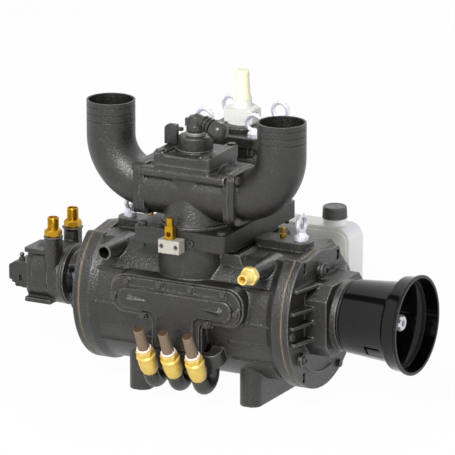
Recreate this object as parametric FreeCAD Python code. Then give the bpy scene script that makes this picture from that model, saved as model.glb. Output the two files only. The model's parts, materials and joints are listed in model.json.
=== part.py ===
# Rotary vane vacuum pump with a changeover manifold, an injection set and an oil tank.
# +X runs along the shaft to the driven end, -Y faces the injection side and +Z is up.
# The origin is the centre of the foot bolt pattern, on the base plane. Millimetres.
import FreeCAD, Part
import math
import os

from FreeCAD import Matrix, Placement, Rotation
from FreeCAD import Vector as V

# Casing and end covers
SHAFT_Z = 201.0
CASING_HALF = 242.0
BARREL_R = 158.0
FLANGE_R = 166.0
FLANGE_T = 22.0
TOP_Z = 330.0
CHAMBER_R = 126.0
CHAMBER_DROP = 8.0
GASKET_T = 1.5
COVER_T = 15.0
OPEN_BOLTS = ((131, 20), (150, -30), (72, -134), (-150, -17))
SUNK_BOLTS = ((-86, 115), (68, 108), (-88, -124))
POCKET_DEPTH = 9.0
SCREW_R = 5.0

# Feet
FOOT_X = 133.0
FOOT_W = 50.0
FOOT_Y = 110.0
FOOT_HOLE_Y = 85.0
FOOT_HOLE_R = 7.0
FOOT_HOLE_DEPTH = 30.0

# Rotor and shaft
ROTOR_R = 116.0
END_GAP = 0.3
VANE_T = 8.0
VANE_H = 40.0
VANE_ANGLES = (45, 135, 225, 315)
SHAFT_CORE_R = 32.0
JOURNAL_R = 30.0
SPLINE_R = 17.45
SPLINE_ROOT_R = 14.8
SPLINE_W = 8.7
SHAFT_END_X = 447.0

# Bearings and seals
BEARING_R = 55.0
BEARING_X = 254.0
BEARING_W = 27.0
SEAL_X = 288.0
SEAL_R = 42.0
SEAL_W = 12.0

# Drive housing and guard
HOUSING_X = 324.0
HOUSING_FACE = 311.0
HOUSING_Y = 90.0
HOUSING_RISE = 78.0
GUARD_X = 330.0
GUARD_END_X = 480.0
GUARD_RIM_R = 107.0
LATCH_X = 391.0
LATCH_TURN = 37.0

# Port plate and manifold
PLATE_X = 108.0
PLATE_Y = 166.0
PLATE_Z = 348.0
PLATE_TOP = 385.0
VALVE_Y = -88.0
VALVE_Z = 457.0
VALVE_R = 60.0
VALVE_HALF = 106.0
VALVE_BORE_R = 48.0
PLUG_CHAMBER_R = 52.0
COVER_SEAT_Z = 522.0
COVER_TOP_Z = 550.0
GLAND_TOP_Z = 577.0
LEVER_TILT = 16.0
LEVER_YAW = -11.0

# Hose tails
TAIL_R = 52.0
TAIL_WALL = 4.0
BEND_R = 98.0
TAIL_X = VALVE_HALF + BEND_R
TAIL_TOP = 630.0

# Rear tower and relief valve
TOWER_Y = 124.0
TOWER_TOP = 543.0
LID_TOP = 555.0

# Injection set
INLET_XS = (-58.4, 0.0, 58.4)
INLET_Y = -184.0
INLET_Z = 74.0
INLET_TILT = 26.8
PIPE_R = 17.0
PIPE_BORE_R = 12.0
PIPE_BEND_R = 27.0
LEG_TOP = 26.0

# Injection cover
COVER_SEAT_Y = -176.0
ARM_LOW = 196.0
ARM_HIGH = 274.0
ARM_X = 155.0
STEM_X = 56.0
STEM_LOW = 122.0

# Lifting eyes
PAD_X = 206.0
PAD_TOP = 351.0
EYE_WIRE_R = 5.0
EYE_RING_R = 17.5

# Water ports
WATER_X = 177.0
WATER_Z = 315.0
WATER_Y = -172.0
WATER_R = 17.0
WATER_BORE_R = 12.1

# Circulation pump and lubrication pump behind the rear cover
LANTERN_X = -344.0
CIRC_DISC_R = 66.0
CIRC_PORT_YS = (-47.0, 39.0)
CIRC_PORT_X = -370.0
CIRC_PORT_TOP = 295.0
CIRC_END_X = -435.0
IMPELLER_R = 43.0
LUBE_END_X = -492.0

# Oil tank
TANK_X0 = -10.0
TANK_X1 = 225.0
TANK_Y0 = 190.0
TANK_Y1 = 256.0
TANK_Z0 = 96.0
TANK_Z1 = 327.0
TANK_WALL = 3.5
NECK_X = 172.0
NECK_R = 22.0
NECK_TOP = 352.0
CAP_R = 27.5
CAP_TOP = 366.0

ALONG_X = V(1, 0, 0)
ALONG_Y = V(0, 1, 0)
ALONG_Z = V(0, 0, 1)
SWAP = {
    "x": Matrix(0, 0, 1, 0, 1, 0, 0, 0, 0, 1, 0, 0, 0, 0, 0, 1),
    "y": Matrix(1, 0, 0, 0, 0, 0, -1, 0, 0, 1, 0, 0, 0, 0, 0, 1),
    "z": Matrix(),
}


# Basic forms

def box(x0, x1, y0, y1, z0, z1):
    return Part.makeBox(x1 - x0, y1 - y0, z1 - z0, V(x0, y0, z0))


def rod(start, end, radius):
    run = V(*end) - V(*start)
    return Part.makeCylinder(radius, run.Length, V(*start), run)


def tube(start, end, outer, inner):
    return rod(start, end, outer).cut(rod(start, end, inner))


def cone(start, end, start_r, end_r):
    run = V(*end) - V(*start)
    return Part.makeCone(start_r, end_r, run.Length, V(*start), run)


def turned(profile, at=(0, 0, 0), along=(0, 0, 1)):
    """Solid of revolution from (radius, height) corners, standing at a point along a direction."""
    corners = [V(r, 0, h) for r, h in profile]
    face = Part.Face(Part.makePolygon(corners + corners[:1]))
    solid = face.revolve(V(), ALONG_Z, 360)
    solid.Placement = Placement(V(*at), Rotation(ALONG_Z, V(*along)))
    return solid


def outline(corners):
    """Closed outline from (u, v, radius) corners: straight sides with an arc at each rounded corner."""
    ends = []
    for i, (u, v, r) in enumerate(corners):
        here = V(u, v, 0)
        if r == 0:
            ends.append((here, None, here))
            continue
        back = V(*corners[i - 1][:2], 0) - here
        ahead = V(*corners[(i + 1) % len(corners)][:2], 0) - here
        half = back.getAngle(ahead) / 2
        back.normalize()
        ahead.normalize()
        middle = back + ahead
        middle.normalize()
        reach = r / math.tan(half)
        ends.append((here + back * reach, here + middle * (r / math.sin(half) - r), here + ahead * reach))
    edges = []
    for i, (start, middle, end) in enumerate(ends):
        if middle:
            edges.append(Part.Arc(start, middle, end).toShape())
        following = ends[(i + 1) % len(ends)][0]
        if end.distanceToPoint(following) > 1e-6:
            edges.append(Part.makeLine(end, following))
    return Part.Wire(edges)


def slab(axis, corners, low, high):
    """Outline pushed along an axis: (y, z) corners along x, (x, z) along y, (x, y) along z."""
    depth = high - low
    start = -high if axis == "y" else low
    wire = outline(corners)
    wire.translate(V(0, 0, start))
    solid = Part.Face(wire).extrude(V(0, 0, depth))
    solid.Placement = Placement(SWAP[axis])
    return solid


def rectangle(u0, u1, v0, v1, r=0):
    return [(u0, v0, r), (u1, v0, r), (u1, v1, r), (u0, v1, r)]


def polygon(sides, across, turn=0.0):
    """Regular polygon corners, given the distance across its flats."""
    radius = across / 2 / math.cos(math.pi / sides)
    angles = [math.radians(turn + 360 / sides * (i + 0.5)) for i in range(sides)]
    return [(radius * math.cos(a), radius * math.sin(a), 0) for a in angles]


def prism(sides, across, height, at, along, turn=0.0):
    solid = slab("z", polygon(sides, across, turn), 0, height)
    solid.Placement = Placement(V(*at), Rotation(ALONG_Z, V(*along)))
    return solid


def fuse(*solids):
    return solids[0].multiFuse(list(solids[1:])).removeSplitter()


def cut(solid, *tools):
    for tool in tools:
        solid = solid.cut(tool)
    return solid


def about_shaft(solid, angle):
    return solid.rotated(V(0, 0, SHAFT_Z), ALONG_X, angle)


def mirrored_x(solid):
    return solid.mirror(V(), ALONG_X)


def group(solids):
    return Part.makeCompound(solids)


# Fasteners

def hex_screw(at, along, length=24.0, across=16.0, radius=SCREW_R):
    """Hexagon screw: its head stands on the seat at the given point, its shank goes the other way."""
    inward = -V(*along)
    head = prism(6, across, 0.6 * radius + 3.5, at, along)
    washer = Part.makeCylinder(across * 0.56, 1.6, V(*at), V(*along))
    shank = Part.makeCylinder(radius, length, V(*at), inward)
    return fuse(head, washer, shank)


def plug_blank(at, along, radius, height):
    return Part.makeCylinder(radius, height + 8, V(*at) - V(*along) * 8, V(*along))


def socket_plug(at, along, radius, height):
    """Round plug with a hexagon socket in its face."""
    mouth = V(*at) + V(*along) * (height - 5)
    return plug_blank(at, along, radius, height).cut(prism(6, radius, 6, tuple(mouth), along))


def eyebolt(x, y, seat, centre, normal):
    """Collar and shank with a ring of round bar; normal is the way to look through the ring."""
    collar = turned([(0, -18), (5.9, -18), (5.9, 0), (15, 0), (15, 9), (11, 13), (8, 18), (0, 18)],
                    at=(x, y, seat))
    middle = V(x, y, centre)
    ring = Part.makeTorus(EYE_RING_R, EYE_WIRE_R, middle, V(*normal))
    body = fuse(collar, ring)
    return body.cut(Part.makeCylinder(EYE_RING_R - EYE_WIRE_R, 30, middle - V(*normal) * 15, V(*normal)))


# Places shared by several pieces

def bolt_places(bolts, depth=0.0):
    """Screw seats on both end covers, from (y, rise) distances off the shaft."""
    places = []
    for side in (-1, 1):
        seat = side * (CASING_HALF + GASKET_T + COVER_T - depth)
        places += [((seat, y, SHAFT_Z + rise), (side, 0, 0)) for y, rise in bolts]
    return places


def injection_screw_places():
    lobes = [(x, 266.0) for x in (-115.0, -38.0, 38.0, 115.0)]
    ends = [(-146.0, 228.0), (146.0, 228.0), (-76.0, 194.0), (76.0, 194.0)]
    return [((x, COVER_SEAT_Y - 9, z), (0, -1, 0)) for x, z in lobes + ends]


def cover_screws():
    covers = [hex_screw(at, along) for at, along in bolt_places(OPEN_BOLTS)]
    covers += [hex_screw(at, along, 18, 9, 4) for at, along in bolt_places(SUNK_BOLTS, POCKET_DEPTH)]
    front = [hex_screw(at, along, 20, 12, 4) for at, along in injection_screw_places()]
    return group(covers + front)


def plate_screw_places():
    return [((sx * 94, sy * 150, PLATE_TOP), (0, 0, 1)) for sx in (-1, 1) for sy in (-1, 1)]


def valve_cover_screw_places():
    ys = (VALVE_Y - 57, VALVE_Y + 57)
    return [((sx * 56, y, COVER_TOP_Z - 4), (0, 0, 1)) for sx in (-1, 1) for y in ys]


def elbow_screw_places():
    x = VALVE_HALF + 14
    spread = (-44.5, 44.5)
    return [((sx * x, VALVE_Y + dy, VALVE_Z + dz), (sx, 0, 0))
            for sx in (-1, 1) for dy in spread for dz in spread]


def tower_screw_places():
    return [((sx * 62, TOWER_Y - 24 + sy * 38, PLATE_TOP + 12), (0, 0, 1)) for sx in (-1, 1) for sy in (-1, 1)]


def manifold_screws():
    long = [hex_screw(at, along, 50) for at, along in plate_screw_places()]
    top = [hex_screw(at, along, 40) for at, along in valve_cover_screw_places()]
    sides = [hex_screw(at, along, 26) for at, along in elbow_screw_places()]
    tower = [hex_screw(at, along, 26) for at, along in tower_screw_places()]
    return group(long + top + sides + tower)


def eyebolts():
    casing = [eyebolt(side * PAD_X, 0, PAD_TOP, 387.0, (1, 0, 0)) for side in (-1, 1)]
    tower = [eyebolt(sx * 60, y, TOWER_TOP, 573.0, (0, 1, 0)) for sx in (-1, 1) for y in (64, 184)]
    return group(casing + tower)


def inlet_frame(x):
    """Local frame of one injection set: +Z points up the tilted axis, the origin is the body's foot."""
    return Placement(V(x, INLET_Y, INLET_Z), Rotation(ALONG_X, INLET_TILT))


def placed(solid, place):
    moved = solid.copy()
    moved.Placement = place.multiply(moved.Placement)
    return moved


# Casing

def flange_neck(low, high):
    """The part of the end flange that is missing above the rear shoulder, outside the neck line."""
    line = [(76, 360, 0), (76, 326, 8), (81, 308, 20), (100, 289, 45), (120, 270, 60), (136, 245, 30), (150, 222, 30),
            (170, 196, 0), (240, 196, 0), (240, 360, 0)]
    return slab("x", line, low - 1, high + 1)


def end_slab(low, high):
    """End flange: round below, a gentle wave along its top, an ear at the front and a neck at the back."""
    disc = rod((low, 0, SHAFT_Z), (high, 0, SHAFT_Z), FLANGE_R)
    disc = cut(disc, box(low - 1, high + 1, -200, 200, 327, 400))
    wave = slab("x", [(-90, 290, 0), (70, 290, 0), (84, 327, 0), (45, 328, 40), (22, 332, 40), (-8, 338, 40),
                      (-45, 333, 40), (-68, 330, 40), (-90, 333, 0)], low, high)
    ear = rod((low, -93, 319), (high, -93, 319), 16)
    return cut(fuse(disc, wave, ear), flange_neck(low, high))


def injection_outline(grow=0.0, low=STEM_LOW):
    """T-shaped seat of the injection cover in the XZ plane."""
    arm = ARM_X + grow
    stem = STEM_X + grow
    end_r = (ARM_HIGH - ARM_LOW) / 2 - 3
    return [
        (-arm, ARM_HIGH + grow, end_r), (-arm, ARM_LOW - grow, end_r),
        (-stem, ARM_LOW - grow, 16), (-stem, low - grow, 10),
        (stem, low - grow, 10), (stem, ARM_LOW - grow, 16),
        (arm, ARM_LOW - grow, end_r), (arm, ARM_HIGH + grow, end_r),
    ]


def casing():
    shoulder = CASING_HALF - FLANGE_T
    barrel = turned(
        [(0, -CASING_HALF), (FLANGE_R, -CASING_HALF), (FLANGE_R, -shoulder), (BARREL_R, -shoulder + 16),
         (BARREL_R, shoulder - 16), (FLANGE_R, shoulder), (FLANGE_R, CASING_HALF), (0, CASING_HALF)],
        at=(0, 0, SHAFT_Z), along=(1, 0, 0))
    barrel = cut(barrel, box(-260, 260, -200, 200, TOP_Z, TOP_Z + 60))
    barrel = cut(barrel, flange_neck(CASING_HALF - 16, CASING_HALF), flange_neck(-CASING_HALF, -CASING_HALF + 16))
    ends = [end_slab(CASING_HALF - 14, CASING_HALF), end_slab(-CASING_HALF, -CASING_HALF + 14)]
    ends += [rod((sx * (CASING_HALF - 26), -93, 319), (sx * CASING_HALF, -93, 319), 16) for sx in (-1, 1)]

    # Pedestal under the port plate, with a round bulge over each port
    pedestal = slab("x", [(-118, 300, 0), (118, 300, 0), (104, PLATE_Z, 0), (-104, PLATE_Z, 0)], -96, 96)
    deck = slab("y", [(-132, 296, 0), (132, 296, 0), (118, 335, 6), (-118, 335, 6)], -116, 116)
    bulges = [rod((0, sy * 84, 240), (0, sy * 84, PLATE_Z), 80) for sy in (-1, 1)]
    pads = [slab("z", [(sx * PLATE_X, -26, 0), (sx * 232, -26, 25), (sx * 232, 26, 25), (sx * PLATE_X, 26, 0)],
                 318, PAD_TOP) for sx in (-1, 1)]

    # Feet across the bottom, round at both ends
    feet = [slab("z", rectangle(sx * FOOT_X - FOOT_W / 2, sx * FOOT_X + FOOT_W / 2, -FOOT_Y, FOOT_Y, 22),
                 0, 98) for sx in (-1, 1)]

    # Injection side: raised T seat, header for the three inlets
    seat = fuse(slab("y", injection_outline(4), COVER_SEAT_Y, -90), *injection_tabs(COVER_SEAT_Y, -90, 3)[-2:])
    leg_y = 2 * PIPE_BEND_R
    header = placed(slab("z", rectangle(-96, 96, leg_y - 25, leg_y + 28, 24), 2, 38), inlet_frame(0))

    # Water ports lying across the shoulders
    ports = [fuse(rod((sx * WATER_X, WATER_Y, WATER_Z), (sx * WATER_X, -60, WATER_Z), WATER_R),
                  cone((sx * WATER_X, -140, WATER_Z), (sx * WATER_X, -60, WATER_Z - 10), WATER_R, 30))
             for sx in (-1, 1)]
    ports = [cut(p, box(-260, 260, -200, 0, TOP_Z + 6, TOP_Z + 60)) for p in ports]

    # Shallow ribs along the front and the back, bosses for the tank bracket
    ribs = []
    for z in (272, 200, 155, 112):
        reach = math.sqrt(BARREL_R ** 2 - (z - SHAFT_Z) ** 2)
        for y0, y1 in ((-reach - 2.5, -reach + 12), (reach - 12, reach + 2.5)):
            ribs += [box(-214, -112, y0, y1, z - 2.5, z + 2.5), box(112, 214, y0, y1, z - 2.5, z + 2.5)]
    bosses = [rod((x, 120, 200), (x, TANK_Y0 - 4, 200), 14) for x in (40, 176)]

    body = fuse(barrel, *ends, pedestal, deck, *bulges, *pads, *feet, seat, header, *ports, *ribs, *bosses)

    # Rotor chamber and its two ports, lying off centre below the shaft
    chamber = rod((-260, 0, SHAFT_Z - CHAMBER_DROP), (260, 0, SHAFT_Z - CHAMBER_DROP), CHAMBER_R)
    ways = [slab("z", rectangle(-52, 52, y, y + 64, 12), 240, PLATE_Z + 1) for y in (-112, 48)]
    body = cut(body, chamber, *ways)

    # Holes: feet, water ports, inlets, lifting eyes and screws
    holes = [rod((sx * FOOT_X, sy * FOOT_HOLE_Y, -1), (sx * FOOT_X, sy * FOOT_HOLE_Y, FOOT_HOLE_DEPTH),
                 FOOT_HOLE_R) for sx in (-1, 1) for sy in (-1, 1)]
    holes += [rod((sx * WATER_X, WATER_Y - 1, WATER_Z), (sx * WATER_X, WATER_Y + 60, WATER_Z), WATER_BORE_R)
              for sx in (-1, 1)]
    for x in INLET_XS:
        way = rod((0, leg_y, LEG_TOP - 1), (0, leg_y, LEG_TOP + 14), PIPE_BORE_R)
        holes += [placed(bend_sweep(PIPE_R), inlet_frame(x)), placed(way, inlet_frame(x))]
    body = cut(body, *holes)
    return cut(body, cover_screws(), manifold_screws(), eyebolts())


def gasket(side):
    low, high = sorted((side * CASING_HALF, side * (CASING_HALF + GASKET_T)))
    chamber = rod((low - 1, 0, SHAFT_Z - CHAMBER_DROP), (high + 1, 0, SHAFT_Z - CHAMBER_DROP), CHAMBER_R)
    return cut(end_slab(low, high), chamber, cover_screws())


def cover_gaskets():
    return group([gasket(-1), gasket(1)])


# End covers

def cover_rib(length_x, low_y, high_y, thick):
    """Wedge rib from the rim up the housing's side, lying along -Y at the shaft's height."""
    seat = CASING_HALF + GASKET_T + COVER_T - 1
    corners = [(seat, -high_y, 0), (seat + 8, -high_y, 0), (seat + length_x, -low_y, 0), (seat, -low_y, 0)]
    return slab("z", corners, SHAFT_Z - thick / 2, SHAFT_Z + thick / 2)


def bearing_room(side):
    """Stepped bore for the bearing, the seal and the shaft."""
    x = side
    inner = CASING_HALF + GASKET_T - 1
    return [
        rod((x * inner, 0, SHAFT_Z), (x * (BEARING_X + BEARING_W), 0, SHAFT_Z), BEARING_R),
        rod((x * inner, 0, SHAFT_Z), (x * (SEAL_X + SEAL_W), 0, SHAFT_Z), SEAL_R),
        rod((x * inner, 0, SHAFT_Z), (x * (HOUSING_X + 1), 0, SHAFT_Z), JOURNAL_R + 4),
    ]


def drive_end_cover():
    inner = CASING_HALF + GASKET_T
    seat = inner + COVER_T
    plate = end_slab(inner, seat)
    y, rise, side = HOUSING_Y, HOUSING_RISE, 50
    corners = [(-y, -side), (-y, side), (27 - y, rise), (y - 27, rise), (y, side), (y, -side), (y - 27, -rise),
               (27 - y, -rise)]
    housing = slab("x", [(u, SHAFT_Z + v, 5) for u, v in corners], seat - 2, HOUSING_FACE)
    neck = cone((HOUSING_FACE - 1, 0, SHAFT_Z), (HOUSING_X, 0, SHAFT_Z), 77.5, 76)

    ribs = []
    for level, inner_y, back_y in ((77, 55, 98), (32, 80, 140), (1, 80, 154), (-36, 80, 150)):
        rim_y = math.sqrt(FLANGE_R ** 2 - level ** 2) - 12
        ribs.append(cover_rib(26, inner_y, rim_y, 7).translated(V(0, 0, level)))
        ribs.append(cover_rib(26, inner_y, back_y, 7).translated(V(0, 0, level)).mirror(V(), ALONG_Y))
    ring = tube((seat - 1, 0, SHAFT_Z), (seat + 5, 0, SHAFT_Z), 131, 127)
    sector = slab("x", [(0, SHAFT_Z, 0), (-160, 60, 0), (-80, 10, 0), (55, 10, 0)], seat - 2, seat + 6)
    ring = ring.common(sector)
    bosses = [rod((seat - 1, y, z), (seat + high, y, z), r) for (y, z), r, high in drive_plug_places()]
    body = fuse(plate, housing, neck, *ribs, ring, *bosses)
    return cut(body, *bolt_pockets(1), *bearing_room(1), cover_screws(), socket_plugs(plug_blank))


def bolt_pockets(side):
    """Upright pockets in a cover's face, each with a small screw at its floor."""
    seat = CASING_HALF + GASKET_T + COVER_T
    low, high = sorted((side * (seat - POCKET_DEPTH), side * (seat + 2)))
    return [slab("x", rectangle(y - 5.5, y + 5.5, SHAFT_Z + rise - 11, SHAFT_Z + rise + 11, 4), low, high)
            for y, rise in SUNK_BOLTS]


def drive_plug_places():
    return [((-15, 297), 17, 12), ((-106, 122), 14, 9)]


def rear_end_cover():
    inner = -(CASING_HALF + GASKET_T)
    seat = inner - COVER_T
    plate = end_slab(seat, inner)
    hub = cone((seat + 2, 0, SHAFT_Z), (-HOUSING_X + 22, 0, SHAFT_Z), 84, 74)
    ribs = [about_shaft(mirrored_x(cover_rib(24, 70, 148, 7)), a) for a in (-20, 20, 40, 75, 100, 135, 155, 187)]
    body = fuse(plate, hub, *ribs)
    return cut(body, *bolt_pockets(-1), *bearing_room(-1), cover_screws())


def socket_plugs(make=socket_plug):
    seat = CASING_HALF + GASKET_T + COVER_T
    plugs = [make((seat + high, y, z), (1, 0, 0), r - 5, 5) for (y, z), r, high in drive_plug_places()]
    plugs.append(make((28, -PLATE_Y, 361), (0, -1, 0), 7.5, 3))
    return group(plugs)


# Rotor group

def shaft():
    body = turned(
        [(0, -400), (12, -400), (12, -296), (JOURNAL_R, -296), (JOURNAL_R, -CASING_HALF - 3),
         (SHAFT_CORE_R, -CASING_HALF - 3), (SHAFT_CORE_R, CASING_HALF + 3), (JOURNAL_R, CASING_HALF + 3),
         (JOURNAL_R, 336), (25, 340), (25, 360), (SPLINE_R, 364), (SPLINE_R, SHAFT_END_X - 3),
         (SPLINE_R - 3, SHAFT_END_X), (0, SHAFT_END_X)],
        at=(0, 0, SHAFT_Z), along=(1, 0, 0))
    spline_zone = tube((372, 0, SHAFT_Z), (SHAFT_END_X + 1, 0, SHAFT_Z), SPLINE_R + 2, SPLINE_ROOT_R)
    teeth = [about_shaft(box(371, SHAFT_END_X + 2, -30, 30, SHAFT_Z - SPLINE_W / 2, SHAFT_Z + SPLINE_W / 2), a)
             for a in (0, 60, 120)]
    gaps = cut(spline_zone, *teeth)
    groove = tube((405, 0, SHAFT_Z), (412, 0, SHAFT_Z), SPLINE_R + 2, SPLINE_ROOT_R)
    centre = rod((SHAFT_END_X - 14, 0, SHAFT_Z), (SHAFT_END_X + 1, 0, SHAFT_Z), 7)
    return cut(body, gaps, groove, centre)


def vane(angle):
    """Flat blade in its slot, drawn in flush with the rotor, its outer edge rounded."""
    half = CASING_HALF + GASKET_T - END_GAP - 0.2
    top = ROTOR_R - 1.0
    corners = [(-VANE_T / 2, top - VANE_H, 0), (VANE_T / 2, top - VANE_H, 0),
               (VANE_T / 2, top, 3), (-VANE_T / 2, top, 3)]
    blade = slab("x", corners, -half, half).translated(V(0, 0, SHAFT_Z))
    return about_shaft(blade, angle - 90)


def rotor():
    half = CASING_HALF + GASKET_T - END_GAP
    body = rod((-half, 0, SHAFT_Z), (half, 0, SHAFT_Z), ROTOR_R)
    bore = rod((-half - 1, 0, SHAFT_Z), (half + 1, 0, SHAFT_Z), SHAFT_CORE_R)
    width = VANE_T / 2 + 0.08
    floor = SHAFT_Z + ROTOR_R - 1.0 - VANE_H - 0.5
    slot = box(-half - 1, half + 1, -width, width, floor, SHAFT_Z + ROTOR_R + 5)
    core = rod((-half - 1, 0, SHAFT_Z + 66), (half + 1, 0, SHAFT_Z + 66), 14)
    tools = [about_shaft(slot, a - 90) for a in VANE_ANGLES]
    tools += [about_shaft(core, a) for a in (0, 90, 180, 270)]
    return cut(body, bore, *tools)


def ring_pair(outer, inner, width, x):
    rings = []
    for side in (-1, 1):
        start = (side * x, 0, SHAFT_Z)
        end = (side * (x + width), 0, SHAFT_Z)
        rings.append(tube(start, end, outer, inner))
    return group(rings)


def bearing_outer_rings():
    return ring_pair(BEARING_R, BEARING_R - 8, BEARING_W, BEARING_X)


def bearing_inner_rings():
    return ring_pair(JOURNAL_R + 8, JOURNAL_R, BEARING_W, BEARING_X)


def shaft_seals():
    """Lip seals: a case in the cover's bore and a lip that runs on the shaft."""
    seals = []
    for side in (-1, 1):
        profile = [(JOURNAL_R + 0.05, 0), (SEAL_R, 0), (SEAL_R, SEAL_W), (JOURNAL_R + 6, SEAL_W),
                   (JOURNAL_R + 6, 4), (JOURNAL_R + 3, 6), (JOURNAL_R + 0.05, 3)]
        seals.append(turned(profile, at=(side * SEAL_X, 0, SHAFT_Z), along=(side, 0, 0)))
    return group(seals)


# Guard

def guard_ring():
    return turned([(JOURNAL_R + 4, HOUSING_X), (70, HOUSING_X), (70, HOUSING_X + 3), (77, HOUSING_X + 3),
                   (77, GUARD_X), (JOURNAL_R + 4, GUARD_X)], at=(0, 0, SHAFT_Z), along=(1, 0, 0))


def pto_guard():
    """Moulded cone: straight mouth behind a stepped shoulder, thick rim, back wall on the ring."""
    wall = 3.5
    profile = [
        (46, GUARD_X), (76, GUARD_X), (79, GUARD_X + 4), (87, 434), (91, 438), (100, 444), (101, 446),
        (102, 470), (GUARD_RIM_R, 474), (GUARD_RIM_R, GUARD_END_X), (GUARD_RIM_R - 6, GUARD_END_X),
        (102 - wall, 470), (101 - wall, 450), (95, 450), (95, 446), (90, 443), (87 - wall, 436),
        (79 - wall, GUARD_X + 7), (76 - wall, GUARD_X + wall), (46, GUARD_X + wall),
    ]
    body = turned(profile, at=(0, 0, SHAFT_Z), along=(1, 0, 0))

    # Latch tongue: a U-shaped slot through the wall, low on the front
    window = slab("y", [(LATCH_X, SHAFT_Z - 14, 7), (LATCH_X + 36, SHAFT_Z - 14, 0), (LATCH_X + 36, SHAFT_Z + 14, 0),
                        (LATCH_X, SHAFT_Z + 14, 7)], -120, -60)
    tongue = slab("y", [(LATCH_X + 4, SHAFT_Z - 11.5, 4), (LATCH_X + 37, SHAFT_Z - 11.5, 0),
                        (LATCH_X + 37, SHAFT_Z + 9, 0), (LATCH_X + 4, SHAFT_Z + 9, 4)], -121, -59)
    return body.cut(about_shaft(window.cut(tongue), LATCH_TURN))


# Port plate and manifold

def port_plate():
    body = slab("z", rectangle(-PLATE_X, PLATE_X, -PLATE_Y, PLATE_Y, 9), PLATE_Z, PLATE_TOP)
    front = rod((0, VALVE_Y, PLATE_Z - 1), (0, VALVE_Y, PLATE_TOP + 1), 44)
    back = rod((0, TOWER_Y - 24, PLATE_Z - 1), (0, TOWER_Y - 24, PLATE_TOP + 1), 40)
    return cut(body, front, back, manifold_screws(), socket_plugs(plug_blank), connector_screws())


def square_flange(x0, x1, half=58.0, corner=17.0):
    low, high = VALVE_Z - half, VALVE_Z + half
    corners = [(VALVE_Y - half, low, 30), (VALVE_Y + half, low, 30), (VALVE_Y + half, high, corner),
               (VALVE_Y - half, high, corner)]
    return slab("x", corners, min(x0, x1), max(x0, x1))


def valve_body():
    middle = (0, VALVE_Y, VALVE_Z)
    barrel = rod((-VALVE_HALF, *middle[1:]), (VALVE_HALF, *middle[1:]), VALVE_R)
    flanges = [square_flange(sx * (VALVE_HALF - 12), sx * VALVE_HALF) for sx in (-1, 1)]
    neck = cone((0, VALVE_Y, PLATE_TOP), (0, VALVE_Y, VALVE_Z), 73, 58)
    foot = rod((0, VALVE_Y, PLATE_TOP), (0, VALVE_Y, PLATE_TOP + 7), 76)
    wall = rod(middle, (0, VALVE_Y, 498), PLUG_CHAMBER_R + 7)
    chest = slab("z", rectangle(-66, 66, VALVE_Y - 66, VALVE_Y + 66, 8), 497, COVER_SEAT_Z)
    ridge = slab("x", [(VALVE_Y - 69, 494, 6), (VALVE_Y - 30, 490, 0), (VALVE_Y - 30, 508, 0),
                       (VALVE_Y - 69, 513, 9)], -VALVE_HALF + 4, VALVE_HALF - 4)
    rear_ridge = ridge.mirror(V(0, VALVE_Y, 0), ALONG_Y)
    body = fuse(barrel, *flanges, neck, foot, wall, chest, ridge, rear_ridge)
    bore = rod((-VALVE_HALF - 1, *middle[1:]), (VALVE_HALF + 1, *middle[1:]), VALVE_BORE_R)
    chamber = rod((0, VALVE_Y, PLATE_TOP + 12), (0, VALVE_Y, COVER_SEAT_Z + 1), PLUG_CHAMBER_R)
    throat = rod((0, VALVE_Y, PLATE_TOP - 1), (0, VALVE_Y, PLATE_TOP + 13), 44)
    return cut(body, bore, chamber, throat, manifold_screws())


def valve_cover():
    body = slab("z", rectangle(-67.5, 67.5, VALVE_Y - 67, VALVE_Y + 67, 7), COVER_SEAT_Z, COVER_TOP_Z)
    dish = slab("y", [(-40, COVER_TOP_Z - 7, 6), (40, COVER_TOP_Z - 7, 6), (44, COVER_TOP_Z + 2, 0),
                      (-44, COVER_TOP_Z + 2, 0)], VALVE_Y - 70, VALVE_Y + 70)
    corners = [rod((sx * 56, y, COVER_TOP_Z - 4), (sx * 56, y, COVER_TOP_Z + 2), 11.5)
               for sx in (-1, 1) for y in (VALVE_Y - 57, VALVE_Y + 57)]
    boss = rod((0, VALVE_Y, COVER_TOP_Z - 9), (0, VALVE_Y, COVER_TOP_Z), 42)
    body = fuse(cut(body, dish, *corners), boss)
    return cut(body, rod((0, VALVE_Y, 500), (0, VALVE_Y, 600), 16), manifold_screws())


def spindle_gland():
    """Round boss that seals and guides the plug's spindle."""
    profile = [(11.05, COVER_TOP_Z - 20), (16, COVER_TOP_Z - 20), (16, COVER_TOP_Z), (37, COVER_TOP_Z),
               (37, GLAND_TOP_Z - 3), (34, GLAND_TOP_Z), (21, GLAND_TOP_Z), (21, GLAND_TOP_Z + 7),
               (11.05, GLAND_TOP_Z + 7)]
    return turned(profile, at=(0, VALVE_Y, 0))


def valve_plug():
    """Spindle with the plate that parts the chamber in two, on a round base with cut-outs."""
    half = PLUG_CHAMBER_R - 0.4
    spindle = rod((0, VALVE_Y, 410), (0, VALVE_Y, 612), 11)
    blade = slab("x", rectangle(VALVE_Y - half, VALVE_Y + half, 400, COVER_SEAT_Z - 1, 3), -4, 4)
    disc = rod((0, VALVE_Y, 398), (0, VALVE_Y, 404), half)
    windows = [slab("z", rectangle(x0, x0 + 26, VALVE_Y - 26, VALVE_Y + 26, 8), 390, 410) for x0 in (-34, 8)]
    blade = blade.common(rod((0, VALVE_Y, 390), (0, VALVE_Y, 530), half))
    body = fuse(spindle, blade, cut(disc, *windows))
    return body.rotated(V(0, VALVE_Y, 0), ALONG_Z, 45)


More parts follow.
